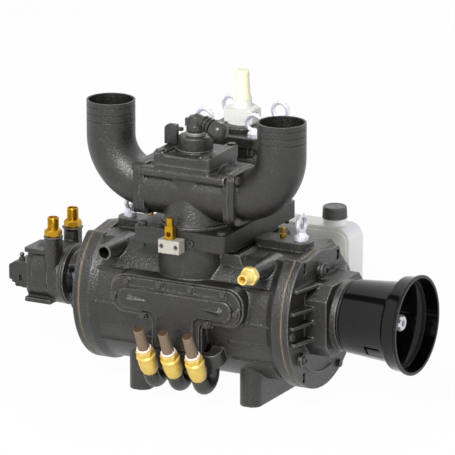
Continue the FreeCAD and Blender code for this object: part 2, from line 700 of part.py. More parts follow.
def changeover_lever():
    """Hub on the spindle, a ribbed arm that slopes down, and a domed hand knob."""
    hub = turned([(11, 586), (20, 586), (20, 606), (14, 617), (0, 619), (0, 612), (11, 612)], at=(0, VALVE_Y, 0))
    arm = [(0, 4), (10, 4), (10, 22), (15, 23), (15, 28), (11, 29), (11, 31), (15, 32), (15, 37), (12, 38),
           (12, 40), (16, 41), (16, 46), (13, 47), (18, 50)]
    dome = [(20 * math.cos(math.radians(a)), 62 + 20 * math.sin(math.radians(a))) for a in (-20, 0, 25, 50, 72)]
    grip = turned(arm + dome + [(0, 82)], at=(0, 0, 0), along=(1, 0, 0))
    grip.rotate(V(), ALONG_Y, LEVER_TILT)
    grip.rotate(V(), ALONG_Z, LEVER_YAW)
    grip.translate(V(0, VALVE_Y, 615))
    lug = box(-24, -8, VALVE_Y - 5, VALVE_Y + 5, 594, 612)
    spindle = rod((0, VALVE_Y, 580), (0, VALVE_Y, 612), 11)
    return cut(fuse(hub, grip, lug), spindle)


def stop_plate():
    """Upright stop beside the gland, with an arm that reaches towards the hub."""
    corners = [(-67, COVER_TOP_Z, 0), (-43, COVER_TOP_Z, 0), (-43, 577, 2), (-37, 577, 2), (-37, 586, 3),
               (-42, 586, 2), (-42, 592, 3), (-67, 592, 13)]
    return slab("y", corners, VALVE_Y - 5, VALVE_Y + 5)


def elbow(side):
    """Cast bend from the square flange up to the grooved hose tail."""
    face = side * VALVE_HALF
    rise = V(side * TAIL_X, VALVE_Y, VALVE_Z + BEND_R)
    lean = BEND_R * (1 - math.sqrt(0.5))
    middle = V(side * (TAIL_X - lean), VALVE_Y, VALVE_Z + lean)
    bend_start = V(face, VALVE_Y, VALVE_Z)
    bend = Part.Arc(bend_start, middle, rise).toShape()
    path = Part.Wire([bend, Part.makeLine(rise, V(side * TAIL_X, VALVE_Y, TAIL_TOP))])

    def swept(radius):
        ring = Part.Wire(Part.makeCircle(radius, bend_start, ALONG_X * side))
        return path.makePipeShell([ring], True, False)

    flange = square_flange(face, side * (VALVE_HALF + 14))
    outer = fuse(flange, swept(TAIL_R))
    grooves = [tube((side * TAIL_X, VALVE_Y, z), (side * TAIL_X, VALVE_Y, z + 1.5), TAIL_R + 2, TAIL_R - 1)
               for z in (588, 603, 618)]
    return cut(outer, swept(TAIL_R - TAIL_WALL), *grooves, manifold_screws())


# Rear tower and relief valve

def rear_tower():
    y = TOWER_Y
    base = slab("z", rectangle(-76, 76, y - 24 - 52, y - 24 + 52, 14), PLATE_TOP, PLATE_TOP + 12)
    column = cone((0, y - 24, PLATE_TOP), (0, y - 8, 470), 54, 58)
    barrel = rod((-76, y - 20, 470), (76, y - 20, 470), 48)
    chest = slab("z", rectangle(-60, 60, y - 62, y + 62, 20), 470, 528)
    top = slab("z", rectangle(-75, 75, y - 75, y + 75, 12), 520, TOWER_TOP)
    webs = [box(-6 + sx * 52, 6 + sx * 52, y - 66, y + 66, 500, 524) for sx in (-1, 1)]
    body = fuse(base, column, barrel, chest, top, *webs)
    way = rod((0, y - 24, PLATE_TOP - 1), (0, y - 24, 480), 40)
    room = rod((0, y, 470), (0, y, TOWER_TOP + 1), 42)
    under = box(-100, 100, y - 120, y + 100, PLATE_TOP - 30, PLATE_TOP)
    return cut(body, under, way, room, manifold_screws(), eyebolts())


def tower_lid():
    return turned([(18, TOWER_TOP), (54, TOWER_TOP), (54, LID_TOP - 3), (51, LID_TOP), (18, LID_TOP)],
                  at=(0, TOWER_Y, 0))


def relief_valve_body():
    """Square-shouldered body with the seat; the poppet lifts off it."""
    foot = rod((0, TOWER_Y, LID_TOP), (0, TOWER_Y, 589), 33)
    side = slab("z", rectangle(-34, 34, TOWER_Y - 24, TOWER_Y + 24, 5), LID_TOP + 3, 586)
    spigot = rod((0, TOWER_Y, TOWER_TOP + 1), (0, TOWER_Y, LID_TOP), 18)
    neck = turned([(0, 588), (22.5, 588), (20.5, 592), (20.5, 607), (0, 607)], at=(0, TOWER_Y, 0))
    body = fuse(foot, side, spigot, neck)
    room = rod((0, TOWER_Y, 566), (0, TOWER_Y, 608), 17)
    seat = rod((0, TOWER_Y, TOWER_TOP), (0, TOWER_Y, 566), 12)
    vents = [rod((-40, TOWER_Y, 575), (40, TOWER_Y, 575), 6)]
    return cut(body, room, seat, *vents)


def relief_valve_bonnet():
    profile = [(17, 590), (17, 607), (19, 607), (19, 611), (17, 618), (15, 640), (14.5, 666), (12, 670), (0, 670),
               (0, 660), (11.5, 660), (11.5, 596), (13.5, 590)]
    return turned(profile, at=(0, TOWER_Y, 0))


def relief_poppet():
    """Disc on the seat with a guide stem that the spring pushes down."""
    return turned([(0, 566.05), (16, 566.05), (16, 571), (9, 574), (4, 575), (4, 640), (0, 640)],
                  at=(0, TOWER_Y, 0))


def coil(radius, wire, low, high, turns):
    """Compression spring of round wire about +Z: half rings, each tilted so that they meet square."""
    rise = (high - low - 2 * wire) / (2 * turns)
    tilt = math.degrees(math.atan2(rise / 2, radius))
    halves = []
    for i in range(2 * turns):
        half = Part.makeTorus(math.hypot(radius, rise / 2), wire, V(), ALONG_Z, -180, 180, 180)
        half.rotate(V(), ALONG_Y, tilt)
        half.rotate(V(), ALONG_Z, 180 * i)
        halves.append(half.translated(V(0, 0, low + wire + rise * (i + 0.5))))
    return fuse(*halves)


def relief_spring():
    return coil(7.5, 1.3, 575.5, 659.5, 7).translated(V(0, TOWER_Y, 0))


# Injection set

def in_each_inlet(make):
    return group([placed(make(), inlet_frame(x)) for x in INLET_XS])


def injection_tabs(front, back, grow=0.0):
    """Raised tabs under the screws: four along the top, one at each end, one beside the stem on each side."""
    tops = [(x - 8.5, x + 8.5, 245, 275) for x in (-115, -38, 38, 115)]
    ends = [(-155, -140, 219, 237), (140, 155, 219, 237), (-84, -68, 187, 210), (68, 84, 187, 210)]
    return [slab("y", rectangle(x0 - grow, x1 + grow, z0 - grow, z1 + grow, 6), front, back)
            for x0, x1, z0, z1 in tops + ends]


def injection_cover():
    flange = slab("y", injection_outline(), COVER_SEAT_Y - 6, COVER_SEAT_Y)
    tabs = injection_tabs(COVER_SEAT_Y - 9, COVER_SEAT_Y)
    ledge = slab("y", rectangle(-122, 122, 246, 258, 2), COVER_SEAT_Y - 9, COVER_SEAT_Y)
    raised = [
        (-137, 252, 22), (-137, 205, 22), (-46, 205, 14), (-46, 130, 6), (46, 130, 6), (46, 205, 14),
        (137, 205, 22), (137, 252, 22),
    ]
    face = COVER_SEAT_Y - 14
    crown = slab("y", raised, face, COVER_SEAT_Y - 4)
    crown = crown.makeChamfer(2.5, [e for e in crown.Edges if e.BoundBox.YMax < face + 0.01])
    arrows = [arrow(-97, face, 1), arrow(97, face, -1)]
    body = fuse(flange, *tabs, ledge, crown, *arrows)
    pocket = slab("y", [(-44, 244, 8), (-44, 138, 8), (44, 138, 8), (44, 244, 8)], COVER_SEAT_Y - 8, COVER_SEAT_Y + 1)
    return cut(body, pocket, cover_screws())


def arrow(x, y, way):
    """Long pyramid on the cover's arm, its wide end outward."""
    z = 229.0
    base = [V(x + way * 36, y, z), V(x - way * 12, y, z + 10), V(x - way * 22, y, z), V(x - way * 12, y, z - 10)]
    peak = V(x - way * 11, y - 8, z)
    faces = [Part.Face(Part.makePolygon(base + base[:1]))]
    for i, corner in enumerate(base):
        faces.append(Part.Face(Part.makePolygon([base[i - 1], corner, peak, base[i - 1]])))
    solid = Part.makeSolid(Part.makeShell(faces))
    return solid if solid.Volume > 0 else solid.reversed()


def bend_sweep(radius):
    """Round bar along the return bend: down out of the valve body, round, and up into the casing's header."""
    low = -12
    depth = 2 * PIPE_BEND_R
    start = V(0, 0, 0)
    turn_a = V(0, 0, low)
    turn_b = V(0, depth, low)
    arc = Part.Arc(turn_a, V(0, PIPE_BEND_R, low - PIPE_BEND_R), turn_b).toShape()
    end = V(0, depth, LEG_TOP)
    path = Part.Wire([Part.makeLine(start, turn_a), arc, Part.makeLine(turn_b, end)])
    return path.makePipeShell([Part.Wire(Part.makeCircle(radius, start, ALONG_Z))], True, False)


def bend():
    return bend_sweep(PIPE_R).cut(bend_sweep(PIPE_BORE_R))


def check_valve_body():
    """Brass body: barrel that rounds in to the pipe, rolled rim and hexagon top, with a seat near the top."""
    barrel = turned([(0, 0), (14.2, 0), (15.6, 3), (18.8, 12), (20.8, 21), (21, 26), (21, 41), (21.4, 45), (18, 49),
                     (16.5, 52), (16.5, 54), (0, 54)])
    top = prism(6, 33, 12, (0, 0, 51), (0, 0, 1))
    body = fuse(barrel, top)
    lower = rod((0, 0, -1), (0, 0, 8), PIPE_BORE_R)
    room = rod((0, 0, 8), (0, 0, 46), 16)
    upper = rod((0, 0, 46), (0, 0, 64), 10)
    return cut(body, lower, room, upper)


def seal_ring():
    return turned([(10, 63), (15.5, 63), (16.5, 64.5), (15.5, 67), (10, 67)])


def silencer():
    """Sintered silencer: a hollow cone, closed at its narrow end."""
    return turned([(7, 67), (12.6, 67), (12.9, 68), (11.2, 106), (11.1, 118), (10, 120), (0, 120), (0, 113),
                   (7, 113)])


def check_poppet():
    return turned([(0, 45.9), (0, 38), (4, 38), (4, 41), (13, 43), (13, 45.9)])


def check_spring():
    return coil(7.5, 1.2, 9, 41, 4)


# Small fittings

def water_fitting():
    """Hose nipple: thread in the port, hexagon, cone and barrel."""
    turning = turned([(0, -20), (WATER_BORE_R, -20), (WATER_BORE_R, 0), (16, 0), (16, 18), (11, 27), (11, 44),
                      (0, 44)], at=(WATER_X, WATER_Y, WATER_Z), along=(0, -1, 0))
    hexagon = prism(6, 36, 18, (WATER_X, WATER_Y, WATER_Z), (0, -1, 0), 30)
    return fuse(turning, hexagon).cut(rod((WATER_X, WATER_Y + 21, WATER_Z), (WATER_X, WATER_Y - 45, WATER_Z), 8))


def connector_screw_places():
    return [((x, -PLATE_Y - 20, 356), (0, -1, 0)) for x in (-27, 7)]


def connector_screws():
    screws = []
    for at, along in connector_screw_places():
        head = Part.makeCylinder(4.6, 5, V(*at), V(*along)).cut(prism(6, 4.5, 4, (at[0], at[1] - 2, at[2]), along))
        screws.append(head.fuse(Part.makeCylinder(2.8, 34, V(*at), -V(*along))))
    return group(screws)


def connector_block():
    body = slab("z", rectangle(-35, 15, -PLATE_Y - 27, -PLATE_Y, 1.5), 341, 370)
    sinks = [Part.makeCylinder(5, 8, V(*at), V(*along)) for at, along in connector_screw_places()]
    return cut(body, *sinks, connector_screws(), rod((-12, -179.5, 355), (-12, -179.5, 371), 6))


def connector_fitting():
    """Square brass elbow fitting on the block with a side port facing the front."""
    square = slab("z", rectangle(-21.5, -2.5, -189, -170, 2), 370, 399)
    neck = slab("z", rectangle(-18.5, -5.5, -186, -173, 1.5), 399, 416)
    stub = rod((-12, -179.5, 356), (-12, -179.5, 371), 6)
    return cut(fuse(square, neck, stub), rod((-12, -190, 382), (-12, -179, 382), 5.5),
               rod((-12, -179.5, 350), (-12, -179.5, 388), 4))


def grease_nipple(x, y, z, height=20.0):
    hexagon = prism(6, 12, 6, (x, y, z), (0, 0, 1))
    head = turned([(0, 4), (4, 4), (4, height - 8), (5, height - 6), (5, height - 3), (3, height), (0, height)],
                  at=(x, y, z))
    return fuse(hexagon, head)


def grease_nipples():
    return group([grease_nipple(-158, 8, PAD_TOP), grease_nipple(158, 8, PAD_TOP), grease_nipple(-468, -12, 219, 17)])


# Rear pumps

def pump_lantern():
    """Cast distance piece with open windows between the rear cover and the circulation pump."""
    near = -HOUSING_X + 22
    body = turned([(46, near), (62, near), (62, near - 5), (54, near - 5), (54, LANTERN_X + 9), (CIRC_DISC_R, LANTERN_X + 5),
                   (CIRC_DISC_R, LANTERN_X), (46, LANTERN_X)], at=(0, 0, SHAFT_Z), along=(1, 0, 0))
    windows = slab("y", rectangle(LANTERN_X + 9, near - 5, SHAFT_Z - 34, SHAFT_Z + 32, 5), -80, 80)
    return cut(body, windows)


def circulation_pump_cover():
    return turned([(12.3, LANTERN_X), (CIRC_DISC_R + 1, LANTERN_X), (CIRC_DISC_R + 1, LANTERN_X - 8),
                   (12.3, LANTERN_X - 8)], at=(0, 0, SHAFT_Z), along=(1, 0, 0))


def circulation_pump_body():
    """Pump housing with two upright ports, waisted sides and clamping lips at top and bottom."""
    start = LANTERN_X - 8
    disc = rod((start, 0, SHAFT_Z), (-379, 0, SHAFT_Z), CIRC_DISC_R)
    waist = [(-50, 142, 10), (-45, 156, 6), (-56, 170, 20), (-56, 232, 20), (-45, 246, 6), (-50, 262, 5),
             (50, 262, 5), (45, 246, 6), (56, 232, 20), (56, 170, 20), (45, 156, 6), (50, 142, 10)]
    block = slab("x", waist, CIRC_END_X, -377).common(box(-500, -300, -60, 18, 100, 300))
    front_waist = [(CIRC_END_X, 150, 0), (-376, 150, 0), (-376, 164, 8), (-386, 180, 25), (-386, 222, 25),
                   (-378, 240, 8), (-378, 256, 0), (CIRC_END_X, 256, 0), (CIRC_END_X, 240, 8), (CIRC_END_X + 3, 225, 25),
                   (CIRC_END_X + 3, 178, 25), (CIRC_END_X, 164, 8)]
    block = block.common(slab("y", front_waist, -70, 20))
    lips = [slab("z", rectangle(CIRC_END_X - 4, -374, -55, 18, 4), z, z + 10) for z in (141, 252)]
    dome = rod((-420, 0, 210), (start - 8, 0, 210), 60)
    ports = []
    for y, rim in zip(CIRC_PORT_YS, (22, 25)):
        ports.append(cone((CIRC_PORT_X, y, SHAFT_Z), (CIRC_PORT_X, y, 262), 17, 20))
        ports.append(rod((CIRC_PORT_X, y, 262), (CIRC_PORT_X, y, CIRC_PORT_TOP), 20))
        ports.append(cone((CIRC_PORT_X, y, CIRC_PORT_TOP - 6), (CIRC_PORT_X, y, CIRC_PORT_TOP), 20, rim))
    near = cut(fuse(*ports), box(start, start + 60, -90, 90, 100, 300))
    body = fuse(disc, dome, block, *lips, near)
    room = rod((start + 1, 0, SHAFT_Z), (-404, 0, SHAFT_Z), IMPELLER_R + 2)
    ways = [rod((CIRC_PORT_X, y, SHAFT_Z), (CIRC_PORT_X, y, CIRC_PORT_TOP + 1), 12) for y in CIRC_PORT_YS]
    return cut(body, room, *ways)


def impeller():
    hub = tube((-400, 0, SHAFT_Z), (-356, 0, SHAFT_Z), 18, 12)
    disc = tube((-362, 0, SHAFT_Z), (-358, 0, SHAFT_Z), IMPELLER_R, 12)
    blade = box(-396, -360, 17, IMPELLER_R - 1, SHAFT_Z - 2, SHAFT_Z + 2)
    return fuse(hub, disc, *[about_shaft(blade, 60 * i) for i in range(6)])


def circulation_fittings():
    """Brass hose nipples screwed into the two ports."""
    fittings = []
    for y in CIRC_PORT_YS:
        at = (CIRC_PORT_X, y, CIRC_PORT_TOP)
        turning = turned([(0, -12), (12, -12), (12, 0), (15, 0), (15, 16), (12.5, 17), (12.5, 42), (0, 42)], at=at)
        hexagon = prism(6, 34, 15, at, (0, 0, 1))
        way = rod((at[0], at[1], at[2] - 13), (at[0], at[1], at[2] + 43), 9)
        fittings.append(fuse(turning, hexagon).cut(way))
    return group(fittings)


def lube_pump():
    """Metering pump block on the end of the circulation pump."""
    side = [(CIRC_END_X, 162, 0), (CIRC_END_X, 219, 2), (-478, 219, 4), (-487, 213, 2), (LUBE_END_X, 210, 3),
            (LUBE_END_X, 177, 3), (-485, 177, 0), (-485, 171, 2), (-477, 171, 0), (-477, 163, 2), (-458, 163, 2),
            (-458, 162, 0)]
    body = slab("y", side, -28, 28)
    slot = box(-467, -459, -30, -22, 176, 190)
    return cut(body, slot)


# Oil tank

def oil_tank():
    """Blow-moulded tank with a grooved border round its broad sides and a necked filler."""
    outer = slab("y", rectangle(TANK_X0, TANK_X1, TANK_Z0, TANK_Z1, 30), TANK_Y0, TANK_Y1)
    outer = outer.makeFillet(4, [e for e in outer.Edges if e.BoundBox.YMax - e.BoundBox.YMin < 0.01])
    inner = slab("y", rectangle(TANK_X0 + TANK_WALL, TANK_X1 - TANK_WALL, TANK_Z0 + TANK_WALL, TANK_Z1 - TANK_WALL, 27),
                 TANK_Y0 + 2 + TANK_WALL, TANK_Y1 - 2 - TANK_WALL)
    rim = rectangle(TANK_X0 + 6, TANK_X1 - 6, TANK_Z0 + 6, TANK_Z1 - 6, 24)
    panel = rectangle(TANK_X0 + 10, TANK_X1 - 10, TANK_Z0 + 10, TANK_Z1 - 10, 20)
    grooves = [slab("y", rim, low, high).cut(slab("y", panel, low - 1, high + 1))
               for low, high in ((TANK_Y0 - 1, TANK_Y0 + 2), (TANK_Y1 - 2, TANK_Y1 + 1))]
    y = (TANK_Y0 + TANK_Y1) / 2
    neck = rod((NECK_X, y, TANK_Z1 - 6), (NECK_X, y, NECK_TOP), NECK_R)
    collar = rod((NECK_X, y, TANK_Z1 - 6), (NECK_X, y, TANK_Z1 + 13), 26)
    mouth = rod((NECK_X, y, TANK_Z1 - 8), (NECK_X, y, NECK_TOP + 1), NECK_R - 3)
    return cut(fuse(outer, neck, collar), inner, *grooves, mouth)


def cap_seal():
    y = (TANK_Y0 + TANK_Y1) / 2
    return turned([(0, NECK_TOP + 0.3), (NECK_R, NECK_TOP + 0.3), (NECK_R, NECK_TOP + 2), (0, NECK_TOP + 2)],
                  at=(NECK_X, y, 0))


def tank_cap():
    """Screw cap with grip ribs all round its skirt."""
    y = (TANK_Y0 + TANK_Y1) / 2
    low = TANK_Z1 + 13.5
    body = turned([(NECK_R + 0.5, low), (CAP_R - 1, low), (CAP_R - 1, CAP_TOP - 3), (CAP_R - 3, CAP_TOP),
                   (0, CAP_TOP), (0, NECK_TOP + 2.3), (NECK_R + 0.5, NECK_TOP + 2.3)], at=(NECK_X, y, 0))
    ribs = []
    for i in range(24):
        rib = box(CAP_R - 3, CAP_R, -1.2, 1.2, low + 1, CAP_TOP - 4).rotated(V(), ALONG_Z, 15 * i)
        ribs.append(rib.translated(V(NECK_X, y, 0)))
    return fuse(body, *ribs)


def tank_bracket():
    """Bent steel carrier: back plate on the casing's bosses, shelf under the tank and front lip."""
    back = slab("y", rectangle(14, 202, TANK_Z0 - 4, 236, 4), TANK_Y0 - 4, TANK_Y0)
    shelf = box(14, 202, TANK_Y0 - 4, TANK_Y1 + 4, TANK_Z0 - 4, TANK_Z0)
    lip = slab("y", rectangle(14, 202, TANK_Z0 - 4, TANK_Z0 + 26, 4), TANK_Y1, TANK_Y1 + 4)
    return fuse(back, shelf, lip)


PARTS = {
    "casing": casing,
    "cover_gaskets": cover_gaskets,
    "drive_end_cover": drive_end_cover,
    "rear_end_cover": rear_end_cover,
    "cover_screws": cover_screws,
    "socket_plugs": socket_plugs,
    "bearing_outer_rings": bearing_outer_rings,
    "bearing_inner_rings": bearing_inner_rings,
    "shaft_seals": shaft_seals,
    "shaft": shaft,
    "rotor": rotor,
    "guard_ring": guard_ring,
    "pto_guard": pto_guard,
    "port_plate": port_plate,
    "valve_body": valve_body,
    "valve_cover": valve_cover,
    "spindle_gland": spindle_gland,
    "valve_plug": valve_plug,
    "changeover_lever": changeover_lever,
    "stop_plate": stop_plate,
    "left_elbow": lambda: elbow(-1),
    "right_elbow": lambda: elbow(1),
    "manifold_screws": manifold_screws,
    "rear_tower": rear_tower,
    "tower_lid": tower_lid,
    "lifting_eyes": eyebolts,
    "relief_valve_body": relief_valve_body,
    "relief_valve_bonnet": relief_valve_bonnet,
    "relief_poppet": relief_poppet,
    "relief_spring": relief_spring,
    "injection_cover": injection_cover,
    "injection_bends": lambda: in_each_inlet(bend),
    "check_valve_bodies": lambda: in_each_inlet(check_valve_body),
    "seal_rings": lambda: in_each_inlet(seal_ring),
    "silencers": lambda: in_each_inlet(silencer),
    "water_fitting": water_fitting,
    "connector_block": connector_block,
    "connector_screws": connector_screws,
    "connector_fitting": connector_fitting,
    "grease_nipples": grease_nipples,
    "pump_lantern": pump_lantern,
    "circulation_pump_cover": circulation_pump_cover,
    "circulation_pump_body": circulation_pump_body,
    "impeller": impeller,
    "circulation_fittings": circulation_fittings,
    "lube_pump": lube_pump,
    "oil_tank": oil_tank,
    "cap_seal": cap_seal,
    "tank_cap": tank_cap,
    "tank_bracket": tank_bracket,
}


def main():
    os.makedirs("parts", exist_ok=True)
    for number, angle in enumerate(VANE_ANGLES, 1):
        PARTS[f"vane_{number}"] = lambda angle=angle: vane(angle)
    for number, x in enumerate(INLET_XS, 1):
        PARTS[f"check_poppet_{number}"] = lambda x=x: placed(check_poppet(), inlet_frame(x))
        PARTS[f"check_spring_{number}"] = lambda x=x: placed(check_spring(), inlet_frame(x))
    for name, make in PARTS.items():
        shape = make()
        print(name, shape.isValid(), len(shape.Solids), round(shape.Volume), flush=True)
        shape.exportStep(f"parts/{name}.step")


main()
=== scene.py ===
import json
import math

import bpy
from mathutils import Matrix, Vector


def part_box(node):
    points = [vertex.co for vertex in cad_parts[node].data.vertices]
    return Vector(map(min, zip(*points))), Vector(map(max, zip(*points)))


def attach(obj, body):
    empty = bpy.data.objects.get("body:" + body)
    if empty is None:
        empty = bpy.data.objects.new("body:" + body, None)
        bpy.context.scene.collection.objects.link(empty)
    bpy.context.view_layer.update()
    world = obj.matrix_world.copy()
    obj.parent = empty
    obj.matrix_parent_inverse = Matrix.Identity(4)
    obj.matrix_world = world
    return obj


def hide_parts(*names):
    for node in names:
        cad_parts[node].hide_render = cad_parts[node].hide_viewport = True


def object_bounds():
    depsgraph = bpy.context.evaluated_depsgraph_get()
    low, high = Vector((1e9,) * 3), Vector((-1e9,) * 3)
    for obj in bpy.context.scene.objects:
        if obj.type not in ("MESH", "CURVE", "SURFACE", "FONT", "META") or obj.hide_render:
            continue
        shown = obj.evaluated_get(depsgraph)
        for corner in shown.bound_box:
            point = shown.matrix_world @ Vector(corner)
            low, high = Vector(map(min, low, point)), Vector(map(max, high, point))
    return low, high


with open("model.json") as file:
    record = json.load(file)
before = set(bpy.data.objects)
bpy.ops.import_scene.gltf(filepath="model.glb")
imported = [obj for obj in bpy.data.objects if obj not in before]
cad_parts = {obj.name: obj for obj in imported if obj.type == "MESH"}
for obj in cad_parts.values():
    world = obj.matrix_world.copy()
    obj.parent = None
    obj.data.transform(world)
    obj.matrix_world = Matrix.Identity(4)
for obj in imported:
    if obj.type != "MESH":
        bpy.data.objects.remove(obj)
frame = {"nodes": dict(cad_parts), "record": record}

cad_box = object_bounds()

# Photograph: a very long lens, nearly parallel
VIEW_AZIMUTH = math.radians(27.8)
VIEW_ELEVATION = math.radians(16.0)
VIEW_TARGET = Vector((0.029, 0.0, 0.355))
VIEW_WIDTH = 0.968
VIEW_DISTANCE = 13.0
SENSOR = 36.0
NEAREST, FARTHEST = 0.5, 100.0

# Studio: light of the room on the object, floor and how much of it shows as pure white
ROOM_LIGHT = 0.16
FLOOR_SIZE = 120.0
FLOOR_GREY = 0.82
FLOOR_WHITE = 0.97
WHITE = (1.0, 1.0, 1.0)

# Lamps: name, azimuth and elevation in degrees, distance, size, power, colour, whether reflections show it
LAMPS = [
    ("front_softbox", -16, 7, 4.4, (2.6, 1.4), 66, (1.0, 0.985, 0.96), False),
    ("right_softbox", 62, 7, 4.4, (2.6, 1.4), 50, (1.0, 0.99, 0.97), False),
    ("left_softbox", -95, 10, 4.4, (2.0, 1.4), 30, WHITE, False),
    ("back_softbox", 180, 15, 4.6, (2.6, 1.6), 40, WHITE, False),
    ("high_softbox", 8, 38, 4.0, (0.9, 0.9), 150, WHITE, True),
    ("rear_strip", -172, 44, 4.0, (0.9, 0.5), 30, WHITE, True),
]


def look_from(azimuth, elevation):
    """Direction from the object to something at that azimuth and elevation."""
    level = math.cos(elevation)
    return Vector((math.sin(azimuth) * level, -math.cos(azimuth) * level, math.sin(elevation)))


def aim(thing, away, distance):
    """Put a camera or lamp that far away and turn it to the object."""
    thing.location = VIEW_TARGET + away * distance
    thing.rotation_euler = (-away).to_track_quat("-Z", "Y").to_euler()


def make_camera():
    data = bpy.data.cameras.new("camera")
    camera = bpy.data.objects.new("camera", data)
    bpy.context.scene.collection.objects.link(camera)
    aim(camera, look_from(VIEW_AZIMUTH, VIEW_ELEVATION), VIEW_DISTANCE)
    data.sensor_width = SENSOR
    data.lens = SENSOR * VIEW_DISTANCE / VIEW_WIDTH
    data.clip_start = NEAREST
    data.clip_end = FARTHEST
    bpy.context.scene.camera = camera


def softbox(name, azimuth, elevation, distance, size, power, colour, mirrored):
    data = bpy.data.lights.new(name, "AREA")
    data.shape = "RECTANGLE"
    data.size, data.size_y = size
    data.energy = power
    data.color = colour
    lamp = bpy.data.objects.new(name, data)
    bpy.context.scene.collection.objects.link(lamp)
    aim(lamp, look_from(math.radians(azimuth), math.radians(elevation)), distance)
    lamp.visible_glossy = mirrored


def shows_backdrop(nodes, links):
    """1 for what the camera, a reflection or a clear piece sees, 0 for the light that falls on the object."""
    light_path = nodes.new("ShaderNodeLightPath")
    seen = light_path.outputs["Is Camera Ray"]
    for kind in ("Is Glossy Ray", "Is Transmission Ray"):
        either = nodes.new("ShaderNodeMath")
        either.operation = "MAXIMUM"
        links.new(seen, either.inputs[0])
        links.new(light_path.outputs[kind], either.inputs[1])
        seen = either.outputs["Value"]
    return seen


def make_room():
    """White paper all round for what is seen, and weak light from it on the object."""
    world = bpy.data.worlds.new("studio")
    bpy.context.scene.world = world
    world.use_nodes = True
    nodes, links = world.node_tree.nodes, world.node_tree.links
    nodes.clear()
    mixed = nodes.new("ShaderNodeMixShader")
    links.new(shows_backdrop(nodes, links), mixed.inputs["Fac"])
    for slot, strength in ((1, ROOM_LIGHT), (2, 1.0)):
        paper = nodes.new("ShaderNodeBackground")
        paper.inputs["Color"].default_value = WHITE + (1.0,)
        paper.inputs["Strength"].default_value = strength
        links.new(paper.outputs["Background"], mixed.inputs[slot])
    output = nodes.new("ShaderNodeOutputWorld")
    links.new(mixed.outputs["Shader"], output.inputs["Surface"])


def make_floor():
    """Plain pale floor that is seen as white paper and keeps the object's shadow."""
    deselect()
    bpy.ops.mesh.primitive_plane_add(size=FLOOR_SIZE, location=(0.0, 0.0, cad_box[0].z))
    floor = bpy.context.object
    floor.name = "floor"
    pale = bpy.data.materials.new("floor_paper")
    pale.use_nodes = True
    nodes, links = pale.node_tree.nodes, pale.node_tree.links
    nodes.clear()
    paper = nodes.new("ShaderNodeBsdfDiffuse")
    paper.inputs["Color"].default_value = (FLOOR_GREY, FLOOR_GREY, FLOOR_GREY, 1.0)
    glow = nodes.new("ShaderNodeEmission")
    glow.inputs["Strength"].default_value = 1.0
    share = nodes.new("ShaderNodeMath")
    share.operation = "MULTIPLY"
    share.inputs[1].default_value = FLOOR_WHITE
    mixed = nodes.new("ShaderNodeMixShader")
    output = nodes.new("ShaderNodeOutputMaterial")
    links.new(shows_backdrop(nodes, links), share.inputs[0])
    links.new(share.outputs["Value"], mixed.inputs["Fac"])
    links.new(paper.outputs["BSDF"], mixed.inputs[1])
    links.new(glow.outputs["Emission"], mixed.inputs[2])
    links.new(mixed.outputs["Shader"], output.inputs["Surface"])
    floor.data.materials.append(pale)


def make_studio():
    for lamp in LAMPS:
        softbox(*lamp)
    make_room()
    make_floor()


# Finishes

# Turned surfaces: scale of the wave pattern, depth of its grooves and radius of the worn edges
GROOVE_SCALE = 250 / 3
GROOVE_DEPTH = 0.00003
TURNED_EDGE = 0.0005

AGED_BRASS = ((168, 128, 30), (208, 164, 50))


def linear(r, g, b):
    """Colour as a shader wants it, from the 0 to 255 values seen on a screen."""
    def channel(c):
        return ((c / 255 + 0.055) / 1.055) ** 2.4 if c > 10 else c / 255 / 12.92

    return channel(r), channel(g), channel(b), 1.0


